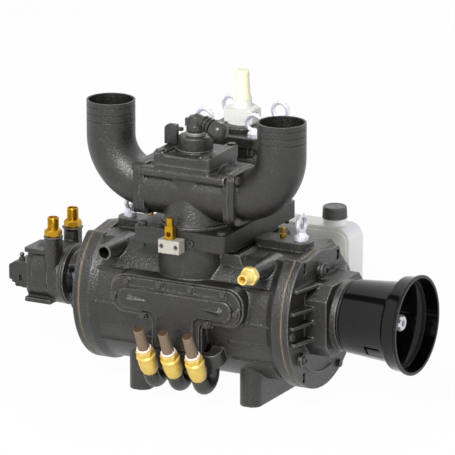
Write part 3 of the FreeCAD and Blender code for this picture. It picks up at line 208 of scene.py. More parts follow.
class Finish:
    """A material under construction: one principled shader with noise for its colour, roughness and relief."""

    def __init__(self, name, roughness, metallic=0.0):
        self.material = bpy.data.materials.new(name)
        self.material.use_nodes = True
        self.nodes = self.material.node_tree.nodes
        self.links = self.material.node_tree.links
        self.shader = self.nodes["Principled BSDF"]
        self.shader.inputs["Roughness"].default_value = roughness
        self.shader.inputs["Metallic"].default_value = metallic
        self.place = self.nodes.new("ShaderNodeTexCoord").outputs["Object"]
        self.normal = None

    def set(self, socket, value):
        self.shader.inputs[socket].default_value = value
        return self

    def noise(self, size, detail=3.0, rough=0.5):
        """Cloudy pattern whose patches have that size in metres."""
        mapping = self.nodes.new("ShaderNodeMapping")
        mapping.inputs["Scale"].default_value = [1.0 / size] * 3
        self.links.new(self.place, mapping.inputs["Vector"])
        texture = self.nodes.new("ShaderNodeTexNoise")
        texture.inputs["Scale"].default_value = 1.0
        texture.inputs["Detail"].default_value = detail
        texture.inputs["Roughness"].default_value = rough
        self.links.new(mapping.outputs["Vector"], texture.inputs["Vector"])
        return texture.outputs["Fac"]

    def facing(self):
        """How far each face looks along X, Y and Z."""
        split = self.nodes.new("ShaderNodeSeparateXYZ")
        self.links.new(self.nodes.new("ShaderNodeTexCoord").outputs["Normal"], split.inputs["Vector"])
        return split.outputs

    def added(self, one, other):
        total = self.nodes.new("ShaderNodeMath")
        total.operation = "ADD"
        self.links.new(one, total.inputs[0])
        self.links.new(other, total.inputs[1])
        return total.outputs["Value"]

    def spread(self, value, low, high, from_low=0.3, from_high=0.7):
        """Value stretched from one range to another. Noise lies mostly between 0.3 and 0.7."""
        ranged = self.nodes.new("ShaderNodeMapRange")
        ranged.inputs["From Min"].default_value = from_low
        ranged.inputs["From Max"].default_value = from_high
        ranged.inputs["To Min"].default_value = low
        ranged.inputs["To Max"].default_value = high
        self.links.new(value, ranged.inputs["Value"])
        return ranged.outputs["Result"]

    def colours(self, value, *stops):
        """Base colour from a 0 to 1 value through (position, colour) stops."""
        ramp = self.nodes.new("ShaderNodeValToRGB")
        elements = ramp.color_ramp.elements
        while len(elements) < len(stops):
            elements.new(0.5)
        for element, (position, colour) in zip(elements, stops):
            element.position = position
            element.color = colour
        self.links.new(value, ramp.inputs["Fac"])
        self.links.new(ramp.outputs["Color"], self.shader.inputs["Base Color"])
        return self

    def polish(self, value, low, high):
        self.links.new(self.spread(value, low, high), self.shader.inputs["Roughness"])
        return self

    def relief(self, height, distance, strength=1.0):
        bump = self.nodes.new("ShaderNodeBump")
        bump.inputs["Distance"].default_value = distance
        bump.inputs["Strength"].default_value = strength
        self.links.new(height, bump.inputs["Height"])
        if self.normal is not None:
            self.links.new(self.normal, bump.inputs["Normal"])
        self.normal = bump.outputs["Normal"]
        self.links.new(self.normal, self.shader.inputs["Normal"])
        return self

    def round_edges(self, radius):
        bevel = self.nodes.new("ShaderNodeBevel")
        bevel.samples = 4
        bevel.inputs["Radius"].default_value = radius
        self.normal = bevel.outputs["Normal"]
        self.links.new(self.normal, self.shader.inputs["Normal"])
        return self

    def rings(self, axis):
        """Fine turned grooves across an axis."""
        wave = self.nodes.new("ShaderNodeTexWave")
        wave.bands_direction = axis
        wave.inputs["Scale"].default_value = GROOVE_SCALE
        wave.inputs["Distortion"].default_value = 0.4
        self.links.new(self.place, wave.inputs["Vector"])
        return self.relief(wave.outputs["Fac"], GROOVE_DEPTH)


def cast_paint(name, edge=0.0):
    """Dark gloss over sand casting, with fine grain.

    With an edge radius the sharp edges are rounded in the shading. Without one, a painted highlight lightens the
    casting's own soft edges and painted shade darkens its inner corners.
    """
    f = Finish(name, 0.4).set("Specular IOR Level", 0.72)
    shade = f.added(f.spread(f.noise(0.003, 2, 0.6), 0.3, 0.7), f.spread(f.noise(0.035, 4), -0.06, 0.06))
    if edge:
        f.round_edges(edge)
    else:
        # Painted highlight on the convex edges and painted shade in the inner corners, from the mesh's pointiness
        corners = f.nodes.new("ShaderNodeNewGeometry").outputs["Pointiness"]
        shade = f.added(shade, f.spread(corners, -0.5, 0.5, 0.44, 0.56))
    # Without an edge radius, the stops at 0.1 and 0.95 are reached only through that painted shade and painted
    # highlight
    f.colours(shade, (0.1, linear(6, 6, 5)), (0.36, linear(17, 16, 14)), (0.5, linear(24, 23, 20)),
              (0.64, linear(35, 34, 30)), (0.95, linear(88, 86, 80)))
    f.polish(f.noise(0.0028, 2, 0.6), 0.24, 0.46)
    f.relief(f.noise(0.02, 2), 0.0005, 0.6)
    f.relief(f.noise(0.0036, 2, 0.65), 0.0012, 1.0)
    return f.material


def plain(name, low, high, roughness, size=0.01, metallic=0.0, grain=0.00008, edge=0.0006, spread=0.06):
    """Finish with slight mottling, a fine grain and softened edges."""
    f = Finish(name, roughness, metallic)
    f.colours(f.noise(size, 3), (0.25, linear(*low)), (0.8, linear(*high)))
    if edge:
        f.round_edges(edge)
    f.polish(f.noise(size * 0.6, 3), roughness - spread / 2, roughness + spread / 2)
    f.relief(f.noise(size * 0.12, 3, 0.6), grain, 0.8)
    return f


def turned_metal(name, low, high, roughness, axis, metallic=1.0):
    """Bare metal with fine grooves across its axis."""
    f = Finish(name, roughness, metallic)
    f.colours(f.noise(0.012, 4), (0.25, linear(*low)), (0.8, linear(*high)))
    f.round_edges(TURNED_EDGE)
    f.polish(f.noise(0.004, 3), roughness - 0.05, roughness + 0.07)
    f.rings(axis)
    return f


def sintered():
    """Grainy bronze, darker on the faces that look up."""
    f = Finish("sintered_bronze", 0.7, 0.2)
    upward = f.spread(f.facing()["Z"], 0.0, 0.5, 0.6, 0.8)
    grain = f.noise(0.0016, 2, 0.6)
    f.colours(f.added(upward, grain), (0.3, linear(108, 92, 75)), (0.62, linear(130, 113, 93)),
              (0.85, linear(66, 43, 27)))
    f.relief(grain, 0.0004)
    return f.material


def grease_nipple_metal():
    """Aged brass, and grey steel for the nipple far out on the rear end."""
    low, high = AGED_BRASS
    f = turned_metal("nipple_metal", low, high, 0.36, "Z")
    along = f.nodes.new("ShaderNodeSeparateXYZ")
    f.links.new(f.place, along.inputs["Vector"])
    inboard = f.spread(along.outputs["X"], 0.0, 0.8, -0.36, -0.34)
    f.colours(f.added(inboard, f.spread(f.noise(0.004, 3), 0.0, 0.2)), (0.0, linear(84, 84, 82)),
              (0.25, linear(112, 112, 109)), (0.75, linear(*low)), (1.0, linear(*high)))
    return f.material


def milky_tank_with_painted_light():
    """Milky plastic with painted light: painted shade greys the broad front and back, the ends are painted white
    with a lilac painted reflection, and a faint painted glow lightens it all.
    """
    shaded_broad_side = (226, 226, 219)
    f = plain("milky_tank_with_painted_light", shaded_broad_side, shaded_broad_side, 0.24, 0.05, edge=0.0012)
    # Painted glow: a faint emission that lightens the whole tank, though it is no lamp
    f.set("Emission Color", (1.0, 1.0, 0.97, 1.0)).set("Emission Strength", 0.09)
    # Painted light by facing along X: the broad front and back in painted shade, the ends painted white, with a
    # lilac painted reflection on their rounded edges
    f.colours(f.spread(f.facing()["X"], 0.0, 1.0, -1.0, 1.0), (0.0, linear(238, 238, 244)),
              (0.16, linear(226, 225, 240)), (0.4, linear(*shaded_broad_side)), (0.6, linear(*shaded_broad_side)),
              (0.84, linear(236, 235, 248)), (0.97, linear(253, 253, 255)))
    return f.material


CAST = cast_paint("charcoal_casting_paint")
FINISHES = {
    "cast_paint": cast_paint("charcoal_paint_on_edges", 0.0022),
    "gasket": plain("ochre_gasket_paper", (124, 106, 78), (146, 126, 94), 0.85, 0.003).material,
    "fastener": plain("painted_screws", (48, 47, 45), (64, 63, 60), 0.34, 0.004).material,
    "bright_steel": turned_metal("turned_steel", (214, 215, 226), (236, 237, 246), 0.3, "X",
                                 metallic=0.5).material,
    "rotor_iron": turned_metal("machined_iron", (120, 118, 114), (146, 144, 140), 0.42, "X").material,
    "vane_sheet": plain("laminated_vane", (88, 66, 44), (108, 84, 58), 0.6, 0.004).material,
    "rubber": plain("black_rubber", (24, 24, 24), (34, 34, 34), 0.75, 0.004).material,
    "guard_plastic": plain("gloss_black_guard", (7, 7, 8), (12, 12, 13), 0.1, 0.05, grain=0.00003,
                           edge=0.0015, spread=0.04).set("Specular IOR Level", 0.3).material,
    "lever_plastic": plain("black_moulding", (42, 42, 39), (56, 56, 52), 0.3, 0.004).material,
    "plug_brass": turned_metal("dark_brass", (124, 98, 26), (158, 126, 44), 0.34, "Z").material,
    "zinc": plain("bright_zinc", (222, 223, 236), (240, 240, 250), 0.3, 0.012, 0.55).material,
    "white_resin": plain("white_resin", (222, 222, 217), (234, 234, 229), 0.45, 0.02).material,
    "yellow_brass": plain("pale_brass", (204, 174, 82), (222, 192, 102), 0.36, 0.006, 0.25,
                          edge=0.0).material,
    "seal_white": plain("white_seal_ring", (240, 220, 218), (250, 236, 234), 0.55, 0.003).material,
    "sintered": sintered(),
    "white_block": plain("ivory_block", (152, 149, 140), (168, 165, 155), 0.5, 0.01).material,
    "dark_brass": turned_metal("aged_brass", *AGED_BRASS, 0.36, "Z").material,
    "tank_plastic": milky_tank_with_painted_light(),
    "cap_plastic": plain("grey_cap", (82, 82, 79), (112, 112, 107), 0.36, 0.003).material,
    "bracket_steel": plain("painted_bracket", (54, 53, 50), (64, 63, 59), 0.4, 0.02).material,
}
COLLAR_STEEL = turned_metal("collar_steel", (126, 126, 126), (152, 152, 152), 0.38, "Z",
                            metallic=0.3).material
OWN_FINISH = {
    "relief_valve_bonnet": plain("cream_resin", (236, 236, 200), (246, 246, 214), 0.45, 0.02).material,
    "water_fitting": plain("bright_brass", (236, 204, 116), (250, 222, 138), 0.34, 0.006, 0.25,
                           edge=0.0).material,
    "grease_nipples": grease_nipple_metal(),
    "connector_screws": plain("grey_socket_screws", (78, 78, 76), (104, 104, 100), 0.4, 0.003, 0.4).material,
}


# Shaping

BODY_OF = {node: body for body, nodes in frame["record"]["behaviour"]["bodies"].items() for node in nodes}
SLOT_OF = {part["node"]: part["material_slot"] for part in frame["record"]["subparts"]}

SMOOTH_ANGLE = 30.0
MERGE_DISTANCE = 0.00001


def deselect():
    bpy.ops.object.select_all(action="DESELECT")


def take(piece):
    """Make one object the selected and active one."""
    deselect()
    piece.select_set(True)
    bpy.context.view_layer.objects.active = piece


def open_mesh(piece):
    """Edit a piece by its faces, with those selected that were selected before."""
    take(piece)
    bpy.ops.object.mode_set(mode="EDIT")
    bpy.ops.mesh.select_mode(type="FACE")


def open_whole_mesh(piece):
    open_mesh(piece)
    bpy.ops.mesh.select_all(action="SELECT")


def close_mesh():
    bpy.ops.object.mode_set(mode="OBJECT")


def settle(piece, matrix):
    """Put a shaped piece at its place, in its mesh, with its faces outward."""
    piece.data.transform(matrix)
    piece.matrix_world = Matrix.Identity(4)
    open_whole_mesh(piece)
    bpy.ops.mesh.normals_make_consistent(inside=False)
    close_mesh()


def in_scene(name, mesh):
    """Object of its own for a mesh."""
    piece = bpy.data.objects.new(name, mesh)
    bpy.context.scene.collection.objects.link(piece)
    return piece


def just_added(name):
    """The primitive that was added last, with its place in its mesh."""
    piece = bpy.context.object
    piece.name = name
    piece.data.transform(piece.matrix_basis)
    piece.matrix_world = Matrix.Identity(4)
    return piece


def copy_of(source, name):
    """Merged copy of a mesh, as its own object."""
    piece = in_scene(name, source.data.copy())
    open_whole_mesh(piece)
    bpy.ops.mesh.remove_doubles(threshold=MERGE_DISTANCE)
    close_mesh()
    return piece


def joined(pieces, name):
    take(pieces[0])
    for piece in pieces:
        piece.select_set(True)
    bpy.ops.object.join()
    whole = bpy.context.object
    whole.name = name
    return whole


def carve(piece, tool, operation="DIFFERENCE", use_self=False):
    """Take a tool's shape out of a piece, or keep only what lies in both, and remove the tool."""
    carving = piece.modifiers.new("carving", "BOOLEAN")
    carving.object = tool
    carving.operation = operation
    carving.use_self = use_self
    take(piece)
    bpy.ops.object.modifier_apply(modifier=carving.name)
    bpy.data.objects.remove(tool)


def stands_for(piece, node, material=None, smooth=SMOOTH_ANGLE):
    """Dress a finished piece and put it in a node's place."""
    if smooth:
        take(piece)
        bpy.ops.object.shade_smooth_by_angle(angle=math.radians(smooth))
    piece.data.materials.clear()
    piece.data.materials.append(material or FINISHES[SLOT_OF[node]])
    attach(piece, BODY_OF[node])
    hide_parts(node)


def round_over(piece, radius):
    """Round every sharp edge of a piece."""
    rounding = piece.modifiers.new("rounding", "BEVEL")
    rounding.width = radius
    rounding.segments = 2
    rounding.limit_method = "ANGLE"
    take(piece)
    bpy.ops.object.modifier_apply(modifier=rounding.name)


def block(name, low, high, radius):
    """Box between two corners with rounded edges."""
    deselect()
    low, high = Vector(low), Vector(high)
    bpy.ops.mesh.primitive_cube_add(size=1.0, location=(low + high) / 2, scale=high - low)
    piece = just_added(name)
    if radius:
        round_over(piece, radius)
    return piece


def turned(name, steps, sides=48, ring=False):
    """Round piece along Z: a disc drawn up or down and in or out through (radius, height) steps.

    A ring starts as an open circle instead, and its steps come back to where they started.
    """
    radius, height = steps[0]
    deselect()
    fill = "NOTHING" if ring else "NGON"
    bpy.ops.mesh.primitive_circle_add(vertices=sides, radius=radius, fill_type=fill, location=(0, 0, height))
    piece = just_added(name)
    open_whole_mesh(piece)
    if ring:
        bpy.ops.mesh.select_mode(type="VERT")
        bpy.ops.mesh.select_all(action="SELECT")
    for next_radius, next_height in steps[1:] + steps[:1] * ring:
        bpy.ops.mesh.extrude_region_move(TRANSFORM_OT_translate={"value": (0, 0, next_height - height)})
        share = next_radius / radius
        bpy.ops.transform.resize(value=(share, share, 1.0))
        radius, height = next_radius, next_height
    bpy.ops.mesh.select_all(action="SELECT")
    bpy.ops.mesh.remove_doubles(threshold=MERGE_DISTANCE / 2)
    bpy.ops.mesh.normals_make_consistent(inside=False)
    close_mesh()
    return piece


# Hexagons: how far the chamfer reaches past the corners' overhang, and how far each blank reaches past the other
CHAMFER_SHARE = 1.25
HEXAGON_SPARE = 0.0005


def hexagon(name, across, low, high, chamfers=("top",)):
    """Hexagon along Z whose corners are turned off at its ends, as on a real nut or screw head."""
    corner = across / math.sqrt(3)
    chamfer = (corner - across / 2) * CHAMFER_SHARE
    spare = HEXAGON_SPARE
    foot, top = [(corner + spare, low)], [(corner + spare, high)]
    if "foot" in chamfers:
        foot = [(corner - chamfer, low), (corner + spare, low + chamfer + spare)]
    if "top" in chamfers:
        top = [(corner + spare, high - chamfer - spare), (corner - chamfer, high)]
    piece = turned(name, foot + top, 46)
    deselect()
    bpy.ops.mesh.primitive_cylinder_add(vertices=6, radius=corner, depth=high - low + 2 * spare,
                                        location=(0, 0, (low + high) / 2))
    carve(piece, bpy.context.object, "INTERSECT")
    return piece


# Castings

# Node: voxel size, and rounds of smoothing
CASTINGS = {
    "casing": (0.0017, 2), "drive_end_cover": (0.0016, 2), "rear_end_cover": (0.0018, 2),
    "valve_body": (0.0016, 3), "valve_cover": (0.0014, 3), "spindle_gland": (0.0011, 2),
    "rear_tower": (0.0018, 3), "tower_lid": (0.0012, 2), "injection_cover": (0.0011, 1),
    "pump_lantern": (0.0014, 2), "circulation_pump_body": (0.0014, 2),
    "circulation_pump_cover": (0.0012, 2), "lube_pump": (0.001, 2),
}
CASTING_TRIANGLES = 180000


def soften_casting(node, voxel, rounds):
    """Sand casting: the machined form with its edges rounded over and its inner corners filled."""
    piece = copy_of(frame["nodes"][node], "cast_" + node)
    take(piece)
    skin = piece.modifiers.new("skin", "REMESH")
    skin.mode = "VOXEL"
    skin.voxel_size = voxel
    bpy.ops.object.modifier_apply(modifier=skin.name)
    softener = piece.modifiers.new("soften", "SMOOTH")
    softener.iterations = rounds
    bpy.ops.object.modifier_apply(modifier=softener.name)
    triangles = 2 * len(piece.data.polygons)
    if triangles > CASTING_TRIANGLES:
        thinner = piece.modifiers.new("thin", "DECIMATE")
        thinner.ratio = CASTING_TRIANGLES / triangles
        bpy.ops.object.modifier_apply(modifier=thinner.name)
    bpy.ops.object.shade_smooth()
    stands_for(piece, node, CAST, smooth=None)


# Screws

def loose_parts(node):
    """Corners of each separate solid of a node."""
    whole = copy_of(frame["nodes"][node], "loose")
    open_whole_mesh(whole)
    bpy.ops.mesh.separate(type="LOOSE")
    close_mesh()
    parts = list(bpy.context.selected_objects)
    corners = [[v.co.copy() for v in part.data.vertices] for part in parts]
    for part in parts:
        bpy.data.objects.remove(part)
    return corners


def box_of(corners):
    """Lowest and highest corner of the box round some corners."""
    return (Vector([pick(c[i] for c in corners) for i in range(3)]) for pick in (min, max))


def screw_shape(across, height, length):
    """Hexagon screw along Z on its seat at 0, with its washer."""
    washer = turned("washer", [(across * 0.55, 0), (across * 0.6, 0.0004), (across * 0.6, 0.0012),
                               (across * 0.55, 0.0016)], 32)
    head = hexagon("head", across, 0.0016, height)
    shank = turned("shank", [(across * 0.25, -length), (across * 0.31, -length + 0.001), (across * 0.31, 0)], 20)
    return joined([head, washer, shank], "screw")


def painted_screws(node):
    """Screws modelled anew on a node's solids: the widest corners of each solid are its head."""
    models, screws = {}, []
    for corners in loose_parts(node):
        low, high = box_of(corners)
        middle, size = (low + high) / 2, high - low
        along = max(range(3), key=lambda i: size[i])
        axis = Vector([float(i == along) for i in range(3)])

        def reach(corner):
            return ((corner - middle) - (corner - middle).dot(axis) * axis).length

        wide = max(reach(c) for c in corners)
        head = [(c - middle).dot(axis) for c in corners if reach(c) > 0.9 * wide]
        facing = 1 if sum(head) > 0 else -1
        seat = min(facing * h for h in head)
        top = max(facing * h for h in head)
        sizes = tuple(round(v, 4) for v in (wide * math.sqrt(3), top - seat, seat + size[along] / 2))
        if sizes not in models:
            models[sizes] = screw_shape(*sizes)
        screw = in_scene("screw", models[sizes].data.copy())
        at = Matrix.Translation(middle + axis * facing * seat)
        screw.data.transform(at @ (axis * facing).to_track_quat("Z", "Y").to_matrix().to_4x4())
        screws.append(screw)
    for model in models.values():
        bpy.data.objects.remove(model)
    piece = joined(screws, "painted_" + node)
    piece.data.validate()
    stands_for(piece, node)


# Brass and plastic fittings

NIPPLE_HEIGHT = 0.042
THREAD_START, THREAD_PITCH, THREAD_TURNS = 0.019, 0.0022, 9
HOSE_FITTING_LENGTH = 0.044


def pipe_nipples():
    """Two brass nipples on the circulation pump: chamfered hexagon, threaded stub and bore."""
    nipples = []
    for corners in loose_parts("circulation_fittings"):
        low, high = box_of(corners)
        middle = (low + high) / 2
        thread = []
        for turn in range(THREAD_TURNS):
            z = THREAD_START + THREAD_PITCH * turn
            thread += [(0.0125, z), (0.0125, z + 0.0007), (0.0115, z + 0.0013), (0.0115, z + 0.0017)]
        stub = turned("stub", [(0.0118, -0.012), (0.0118, 0.0), (0.0152, 0.0), (0.0152, 0.016), (0.0118, 0.017)]
                      + thread + [(0.0125, 0.0393), (0.0125, 0.0405), (0.0115, 0.042), (0.0092, 0.042),
                                  (0.009, 0.041), (0.009, -0.011)], 40)
        collar = hexagon("collar", 0.0338, 0.0002, 0.015, ("top", "foot"))
        nipple = joined([stub, collar], "nipple")
        settle(nipple, Matrix.Translation((middle.x, middle.y, high.z - NIPPLE_HEIGHT)))
        nipples.append(nipple)
    stands_for(joined(nipples, "brass_nipples"), "circulation_fittings")


def water_hose_fitting():
    """Hose fitting of the water port: hexagon, cone and plain barrel, lying along the port."""
    low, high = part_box("water_fitting")
    stub = turned("barrel", [(0.0165, -0.02), (0.0168, -0.018), (0.0168, -0.0005), (0.0172, 0.0), (0.0172, 0.0165),
                             (0.0158, 0.0175), (0.0152, 0.0195), (0.0118, 0.0268), (0.0112, 0.028), (0.0112, 0.0425),
                             (0.0105, 0.044), (0.0086, 0.044), (0.0082, 0.0435), (0.008, -0.019)], 40)
    collar = hexagon("collar", 0.0358, 0.0002, 0.0165, ("top", "foot"))
    piece = joined([stub, collar], "water_hose_fitting")
    middle = (low + high) / 2
    turn = Matrix(((0, 1, 0), (0, 0, -1), (-1, 0, 0))).to_4x4()
    settle(piece, Matrix.Translation((middle.x, low.y + HOSE_FITTING_LENGTH, middle.z)) @ turn)
    stands_for(piece, "water_fitting", OWN_FINISH["water_fitting"])


# Injection inlets: three tilted axes that the check valves, seals and silencers share
INLET_XS = (-0.0584, 0.0, 0.0584)
INLET_Y = -0.184
INLET_Z = 0.074
INLET_TILT = math.radians(26.8)


def in_each_inlet(shape, name):
    """Copies of one shaped piece on the three tilted axes."""
    pieces = []
    for x in INLET_XS:
        piece = in_scene(name, shape.data.copy())
        settle(piece, Matrix.Translation((x, INLET_Y, INLET_Z)) @ Matrix.Rotation(INLET_TILT, 4, "X"))
        pieces.append(piece)
    bpy.data.objects.remove(shape)
    return joined(pieces, name)


def check_valves():
    """Forged barrels that round in to the pipe below, with a rolled rim and a hexagon above."""
    barrel = turned("barrel", [
        (0.0101, 0.0), (0.0148, 0.0), (0.0158, 0.0008), (0.0164, 0.003), (0.0172, 0.0058),
        (0.0184, 0.0095), (0.0193, 0.0138), (0.0199, 0.0195), (0.0201, 0.026), (0.0201, 0.0375),
        (0.0198, 0.0395), (0.0198, 0.0405), (0.0208, 0.0414), (0.0213, 0.0432), (0.0212, 0.045),
        (0.0207, 0.0468), (0.0188, 0.0482), (0.0168, 0.0492), (0.0165, 0.0628), (0.0102, 0.0628),
        (0.01, 0.0462), (0.016, 0.046), (0.016, 0.008), (0.0101, 0.008)], 56, ring=True)
    collar = hexagon("collar", 0.0338, 0.0505, 0.0625, ("top", "foot"))
    carve(collar, turned("hole", [(0.0112, 0.04), (0.0112, 0.07)], 40))
    stands_for(in_each_inlet(joined([barrel, collar], "valve"), "forged_check_valves"), "check_valve_bodies")


def seal_cups():
    """White sealing rings with a thin lip and a pulled tail of the seal."""
    ring = turned("ring", [
        (0.0101, 0.0631), (0.0152, 0.0631), (0.0161, 0.0638), (0.0163, 0.0652), (0.0161, 0.0665), (0.0154, 0.0669),
        (0.0148, 0.0664), (0.0146, 0.0648), (0.0138, 0.0646), (0.0134, 0.0669), (0.0101, 0.0669)], 48, ring=True)
    tail = turned("tail", [(0.0009, 0.066), (0.0008, 0.0695), (0.0004, 0.073), (0.0002, 0.0735)], 8)
    tail.data.transform(Matrix.Translation((0.0146, -0.004, 0)))
    stands_for(in_each_inlet(joined([ring, tail], "ring"), "white_seal_rings"), "seal_rings")


def sintered_silencers():
    """Sintered cones that widen to the seal, closed by a rounded end."""
    shape = turned("silencer", [
        (0.007, 0.113), (0.007, 0.0671), (0.0126, 0.0671), (0.0129, 0.068), (0.0127, 0.072),
        (0.0119, 0.09), (0.0112, 0.106), (0.0109, 0.1173), (0.0105, 0.1188), (0.0098, 0.1196)], 48)
    stands_for(in_each_inlet(shape, "silencer_cones"), "silencers")


CAP_RIB_ANGLE = 10.0


def ribbed_cap():
    """Screw cap of the tank with grip ribs round its skirt."""
    low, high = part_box("tank_cap")
    seal_low, seal_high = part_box("cap_seal")
    radius, inner = (high.x - low.x) / 2, (seal_high.x - seal_low.x) / 2 + 0.0005
    middle = (low + high) / 2
    piece = turned("ribbed_tank_cap", [
        (inner, seal_high.z), (inner, low.z), (radius * 0.97, low.z), (radius, low.z + 0.0012),
        (radius * 0.985, low.z + 0.003), (radius * 0.972, low.z + 0.0042), (radius * 0.952, high.z - 0.0048),
        (radius * 0.945, high.z - 0.0034), (radius * 0.925, high.z - 0.0012), (radius * 0.88, high.z),
        (radius * 0.8, high.z), (radius * 0.785, high.z - 0.0007)], 144)
    for face in piece.data.polygons:
        outward = abs(face.normal.z) < 0.3 and Vector(face.center[:2]).length > radius * 0.93
        round_the_cap = math.degrees(math.atan2(face.center.y, face.center.x)) % CAP_RIB_ANGLE
        on_skirt = low.z + 0.0035 < face.center.z < high.z - 0.0042
        face.select = outward and on_skirt and round_the_cap < CAP_RIB_ANGLE / 2
    open_mesh(piece)
    bpy.ops.mesh.inset(thickness=0.0003, depth=-0.0011, use_even_offset=False)
    close_mesh()
    settle(piece, Matrix.Translation((middle.x, middle.y, 0)))
    stands_for(piece, "tank_cap")


# Barrel of the casing and its shaft guard

SHAFT_HEIGHT = 0.201
BARREL_RADIUS = 0.158
RIB_HEIGHTS = (0.272, 0.2, 0.155, 0.112)
RIB_SPANS = ((-0.2135, -0.1125), (0.1125, 0.2135))
RIB_ROOT, RIB_CREST, RIB_HALF_WIDTH, RIB_ROUNDING = 0.004, 0.0036, 0.0017, 0.0006
LATCH_ANGLE = math.radians(37)


def barrel_ribs():
    """Thin raised ribs along the front and the back of the barrel, with crisp edges."""
    ribs = []
    for height in RIB_HEIGHTS:
        reach = math.sqrt(BARREL_RADIUS ** 2 - (height - SHAFT_HEIGHT) ** 2)
        for start, end in RIB_SPANS:
            for side in (-1, 1):
                near, far = sorted((side * (reach - RIB_ROOT), side * (reach + RIB_CREST)))
                ribs.append(block("rib", (start, near, height - RIB_HALF_WIDTH),
                                  (end, far, height + RIB_HALF_WIDTH), RIB_ROUNDING))
    piece = joined(ribs, "barrel_ribs")
    piece.data.materials.clear()
    piece.data.materials.append(FINISHES["cast_paint"])
    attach(piece, BODY_OF["casing"])


def moulded_guard():
    """Shaft guard: cone, stepped shoulder and rolled rim, with fine steps inside the mouth and the latch slot."""
    millimetres = [(46, 330), (75, 330), (76.6, 330.8), (79, 334), (87, 434), (88.2, 436.5), (91, 438.4),
                   (98.6, 443.2), (100.4, 445), (101, 447.5), (102, 469), (103, 471.6), (105.8, 473), (107, 474.6),
                   (107, 479.2), (106.4, 480), (100.9, 480), (100.3, 479.4), (100.1, 476), (98.2, 452.4),
                   (97.5, 451.4), (94.6, 451.2), (93.9, 450.4), (93.6, 448), (92.8, 447.3), (89.9, 447),
                   (89.1, 446.2), (83.6, 436), (75.7, 337.4), (72.6, 333.5), (46, 333.5)]
    guard = turned("guard", [(radius / 1000, along / 1000) for radius, along in millimetres], 160, ring=True)
    on_shaft = Matrix.Translation((0, 0, SHAFT_HEIGHT))
    settle(guard, on_shaft @ Matrix.Rotation(math.radians(90), 4, "Y"))
    slot = joined([block("slot", (0.3905, -0.12, -0.014), (0.3965, -0.06, 0.0145), 0.0),
                   block("slot", (0.394, -0.12, 0.0085), (0.427, -0.06, 0.0145), 0.0),
                   block("slot", (0.394, -0.12, -0.014), (0.427, -0.06, -0.0115), 0.0)], "slot")
    slot.data.transform(on_shaft @ Matrix.Rotation(LATCH_ANGLE, 4, "X"))
    carve(guard, slot, use_self=True)
    guard.name = "moulded_shaft_guard"
    stands_for(guard, "pto_guard", smooth=24.0)


# Changeover valve

VALVE_Y = -0.088


def moulded_lever():
    """Hub, arm with three grip rings and a long domed hand knob that slopes down, with the lug behind it."""
    hub = turned("hub", [
        (0.011, 0.0), (0.0195, 0.0), (0.0203, 0.0015), (0.0203, 0.012), (0.0192, 0.0138), (0.016, 0.0152),
        (0.0152, 0.018), (0.015, 0.029), (0.0138, 0.0318), (0.011, 0.033), (0, 0.033)], 40)
    settle(hub, Matrix.Translation((0, VALVE_Y, 0.586)))
    rings = []
    for start, radius in ((0.0215, 0.0155), (0.0305, 0.0163), (0.0395, 0.0172)):
        rings += [(0.0112, start), (radius - 0.001, start + 0.0004), (radius, start + 0.0014),
                  (radius, start + 0.0046), (radius - 0.001, start + 0.0056), (0.0118, start + 0.006)]
    knob_radius, dome_start, dome_length = 0.0208, 0.066, 0.0195
    knob = [(0.0122, 0.0485), (0.0176, 0.049), (0.0196, 0.0506), (0.0206, 0.054), (knob_radius, dome_start)]
    dome = [(knob_radius * math.cos(math.radians(angle)), dome_start + dome_length * math.sin(math.radians(angle)))
            for angle in range(12, 90, 12)]
    grip = turned("grip", [(0.0105, 0.0), (0.0112, 0.012)] + rings + knob + dome + [(0.0, 0.0855)], 40)
    slope = Matrix.Rotation(math.radians(-11), 4, "Z") @ Matrix.Rotation(math.radians(107.5), 4, "Y")
    settle(grip, Matrix.Translation((0, VALVE_Y, 0.615)) @ slope)
    lug = block("lug", (-0.024, VALVE_Y - 0.005, 0.594), (-0.008, VALVE_Y + 0.005, 0.612), 0.0015)
    stands_for(joined([hub, grip, lug], "moulded_lever"), "changeover_lever")


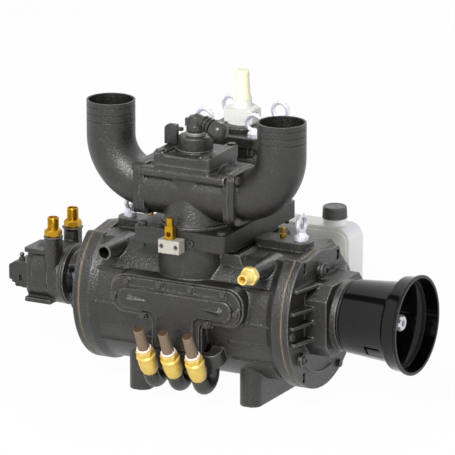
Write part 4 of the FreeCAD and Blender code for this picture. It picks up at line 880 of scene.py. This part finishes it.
def spindle_collar():
    """Bright steel collar round the spindle, over the gland's upper step."""
    piece = turned("steel_spindle_collar", [
        (0.0118, 0.5772), (0.0214, 0.5772), (0.0217, 0.5778), (0.0217, 0.5836), (0.0211, 0.5844),
        (0.0118, 0.5844)], 48, ring=True)
    settle(piece, Matrix.Translation((0, VALVE_Y, 0)))
    take(piece)
    bpy.ops.object.shade_smooth_by_angle(angle=math.radians(SMOOTH_ANGLE))
    piece.data.materials.clear()
    piece.data.materials.append(COLLAR_STEEL)
    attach(piece, BODY_OF["spindle_gland"])


def lever_stop():
    """Upright stop plate with its rounded shoulder and the finger that reaches towards the hub."""
    plate = block("plate", (-0.073, VALVE_Y - 0.005, 0.55), (-0.043, VALVE_Y + 0.005, 0.594), 0.0)
    for part in list(plate.data.vertices) + list(plate.data.polygons):
        part.select = False
    for edge in plate.data.edges:
        ends = [plate.data.vertices[i].co for i in edge.vertices]
        edge.select = all(e.x < -0.07 and e.z > 0.59 for e in ends)
    take(plate)
    bpy.ops.object.mode_set(mode="EDIT")
    bpy.ops.mesh.select_mode(type="EDGE")
    bpy.ops.mesh.bevel(offset=0.013, affect="EDGES", segments=8)
    close_mesh()
    round_over(plate, 0.0008)
    finger = block("finger", (-0.046, VALVE_Y - 0.0045, 0.581), (-0.031, VALVE_Y + 0.0045, 0.589), 0.0015)
    stands_for(joined([plate, finger], "lever_stop_plate"), "stop_plate")


def dress_nodes():
    """Finish of its slot for every node of the part, or its own where the photo shows another."""
    for name, node in frame["nodes"].items():
        node.data.materials.clear()
        node.data.materials.append(OWN_FINISH.get(name) or FINISHES[SLOT_OF[name]])


make_camera()
make_studio()
dress_nodes()
for cast_node, (cast_voxel, cast_rounds) in CASTINGS.items():
    soften_casting(cast_node, cast_voxel, cast_rounds)
painted_screws("cover_screws")
painted_screws("manifold_screws")
pipe_nipples()
water_hose_fitting()
check_valves()
seal_cups()
sintered_silencers()
ribbed_cap()
moulded_lever()
spindle_collar()
lever_stop()
barrel_ribs()
moulded_guard()
bpy.context.scene.view_settings.view_transform = "Standard"
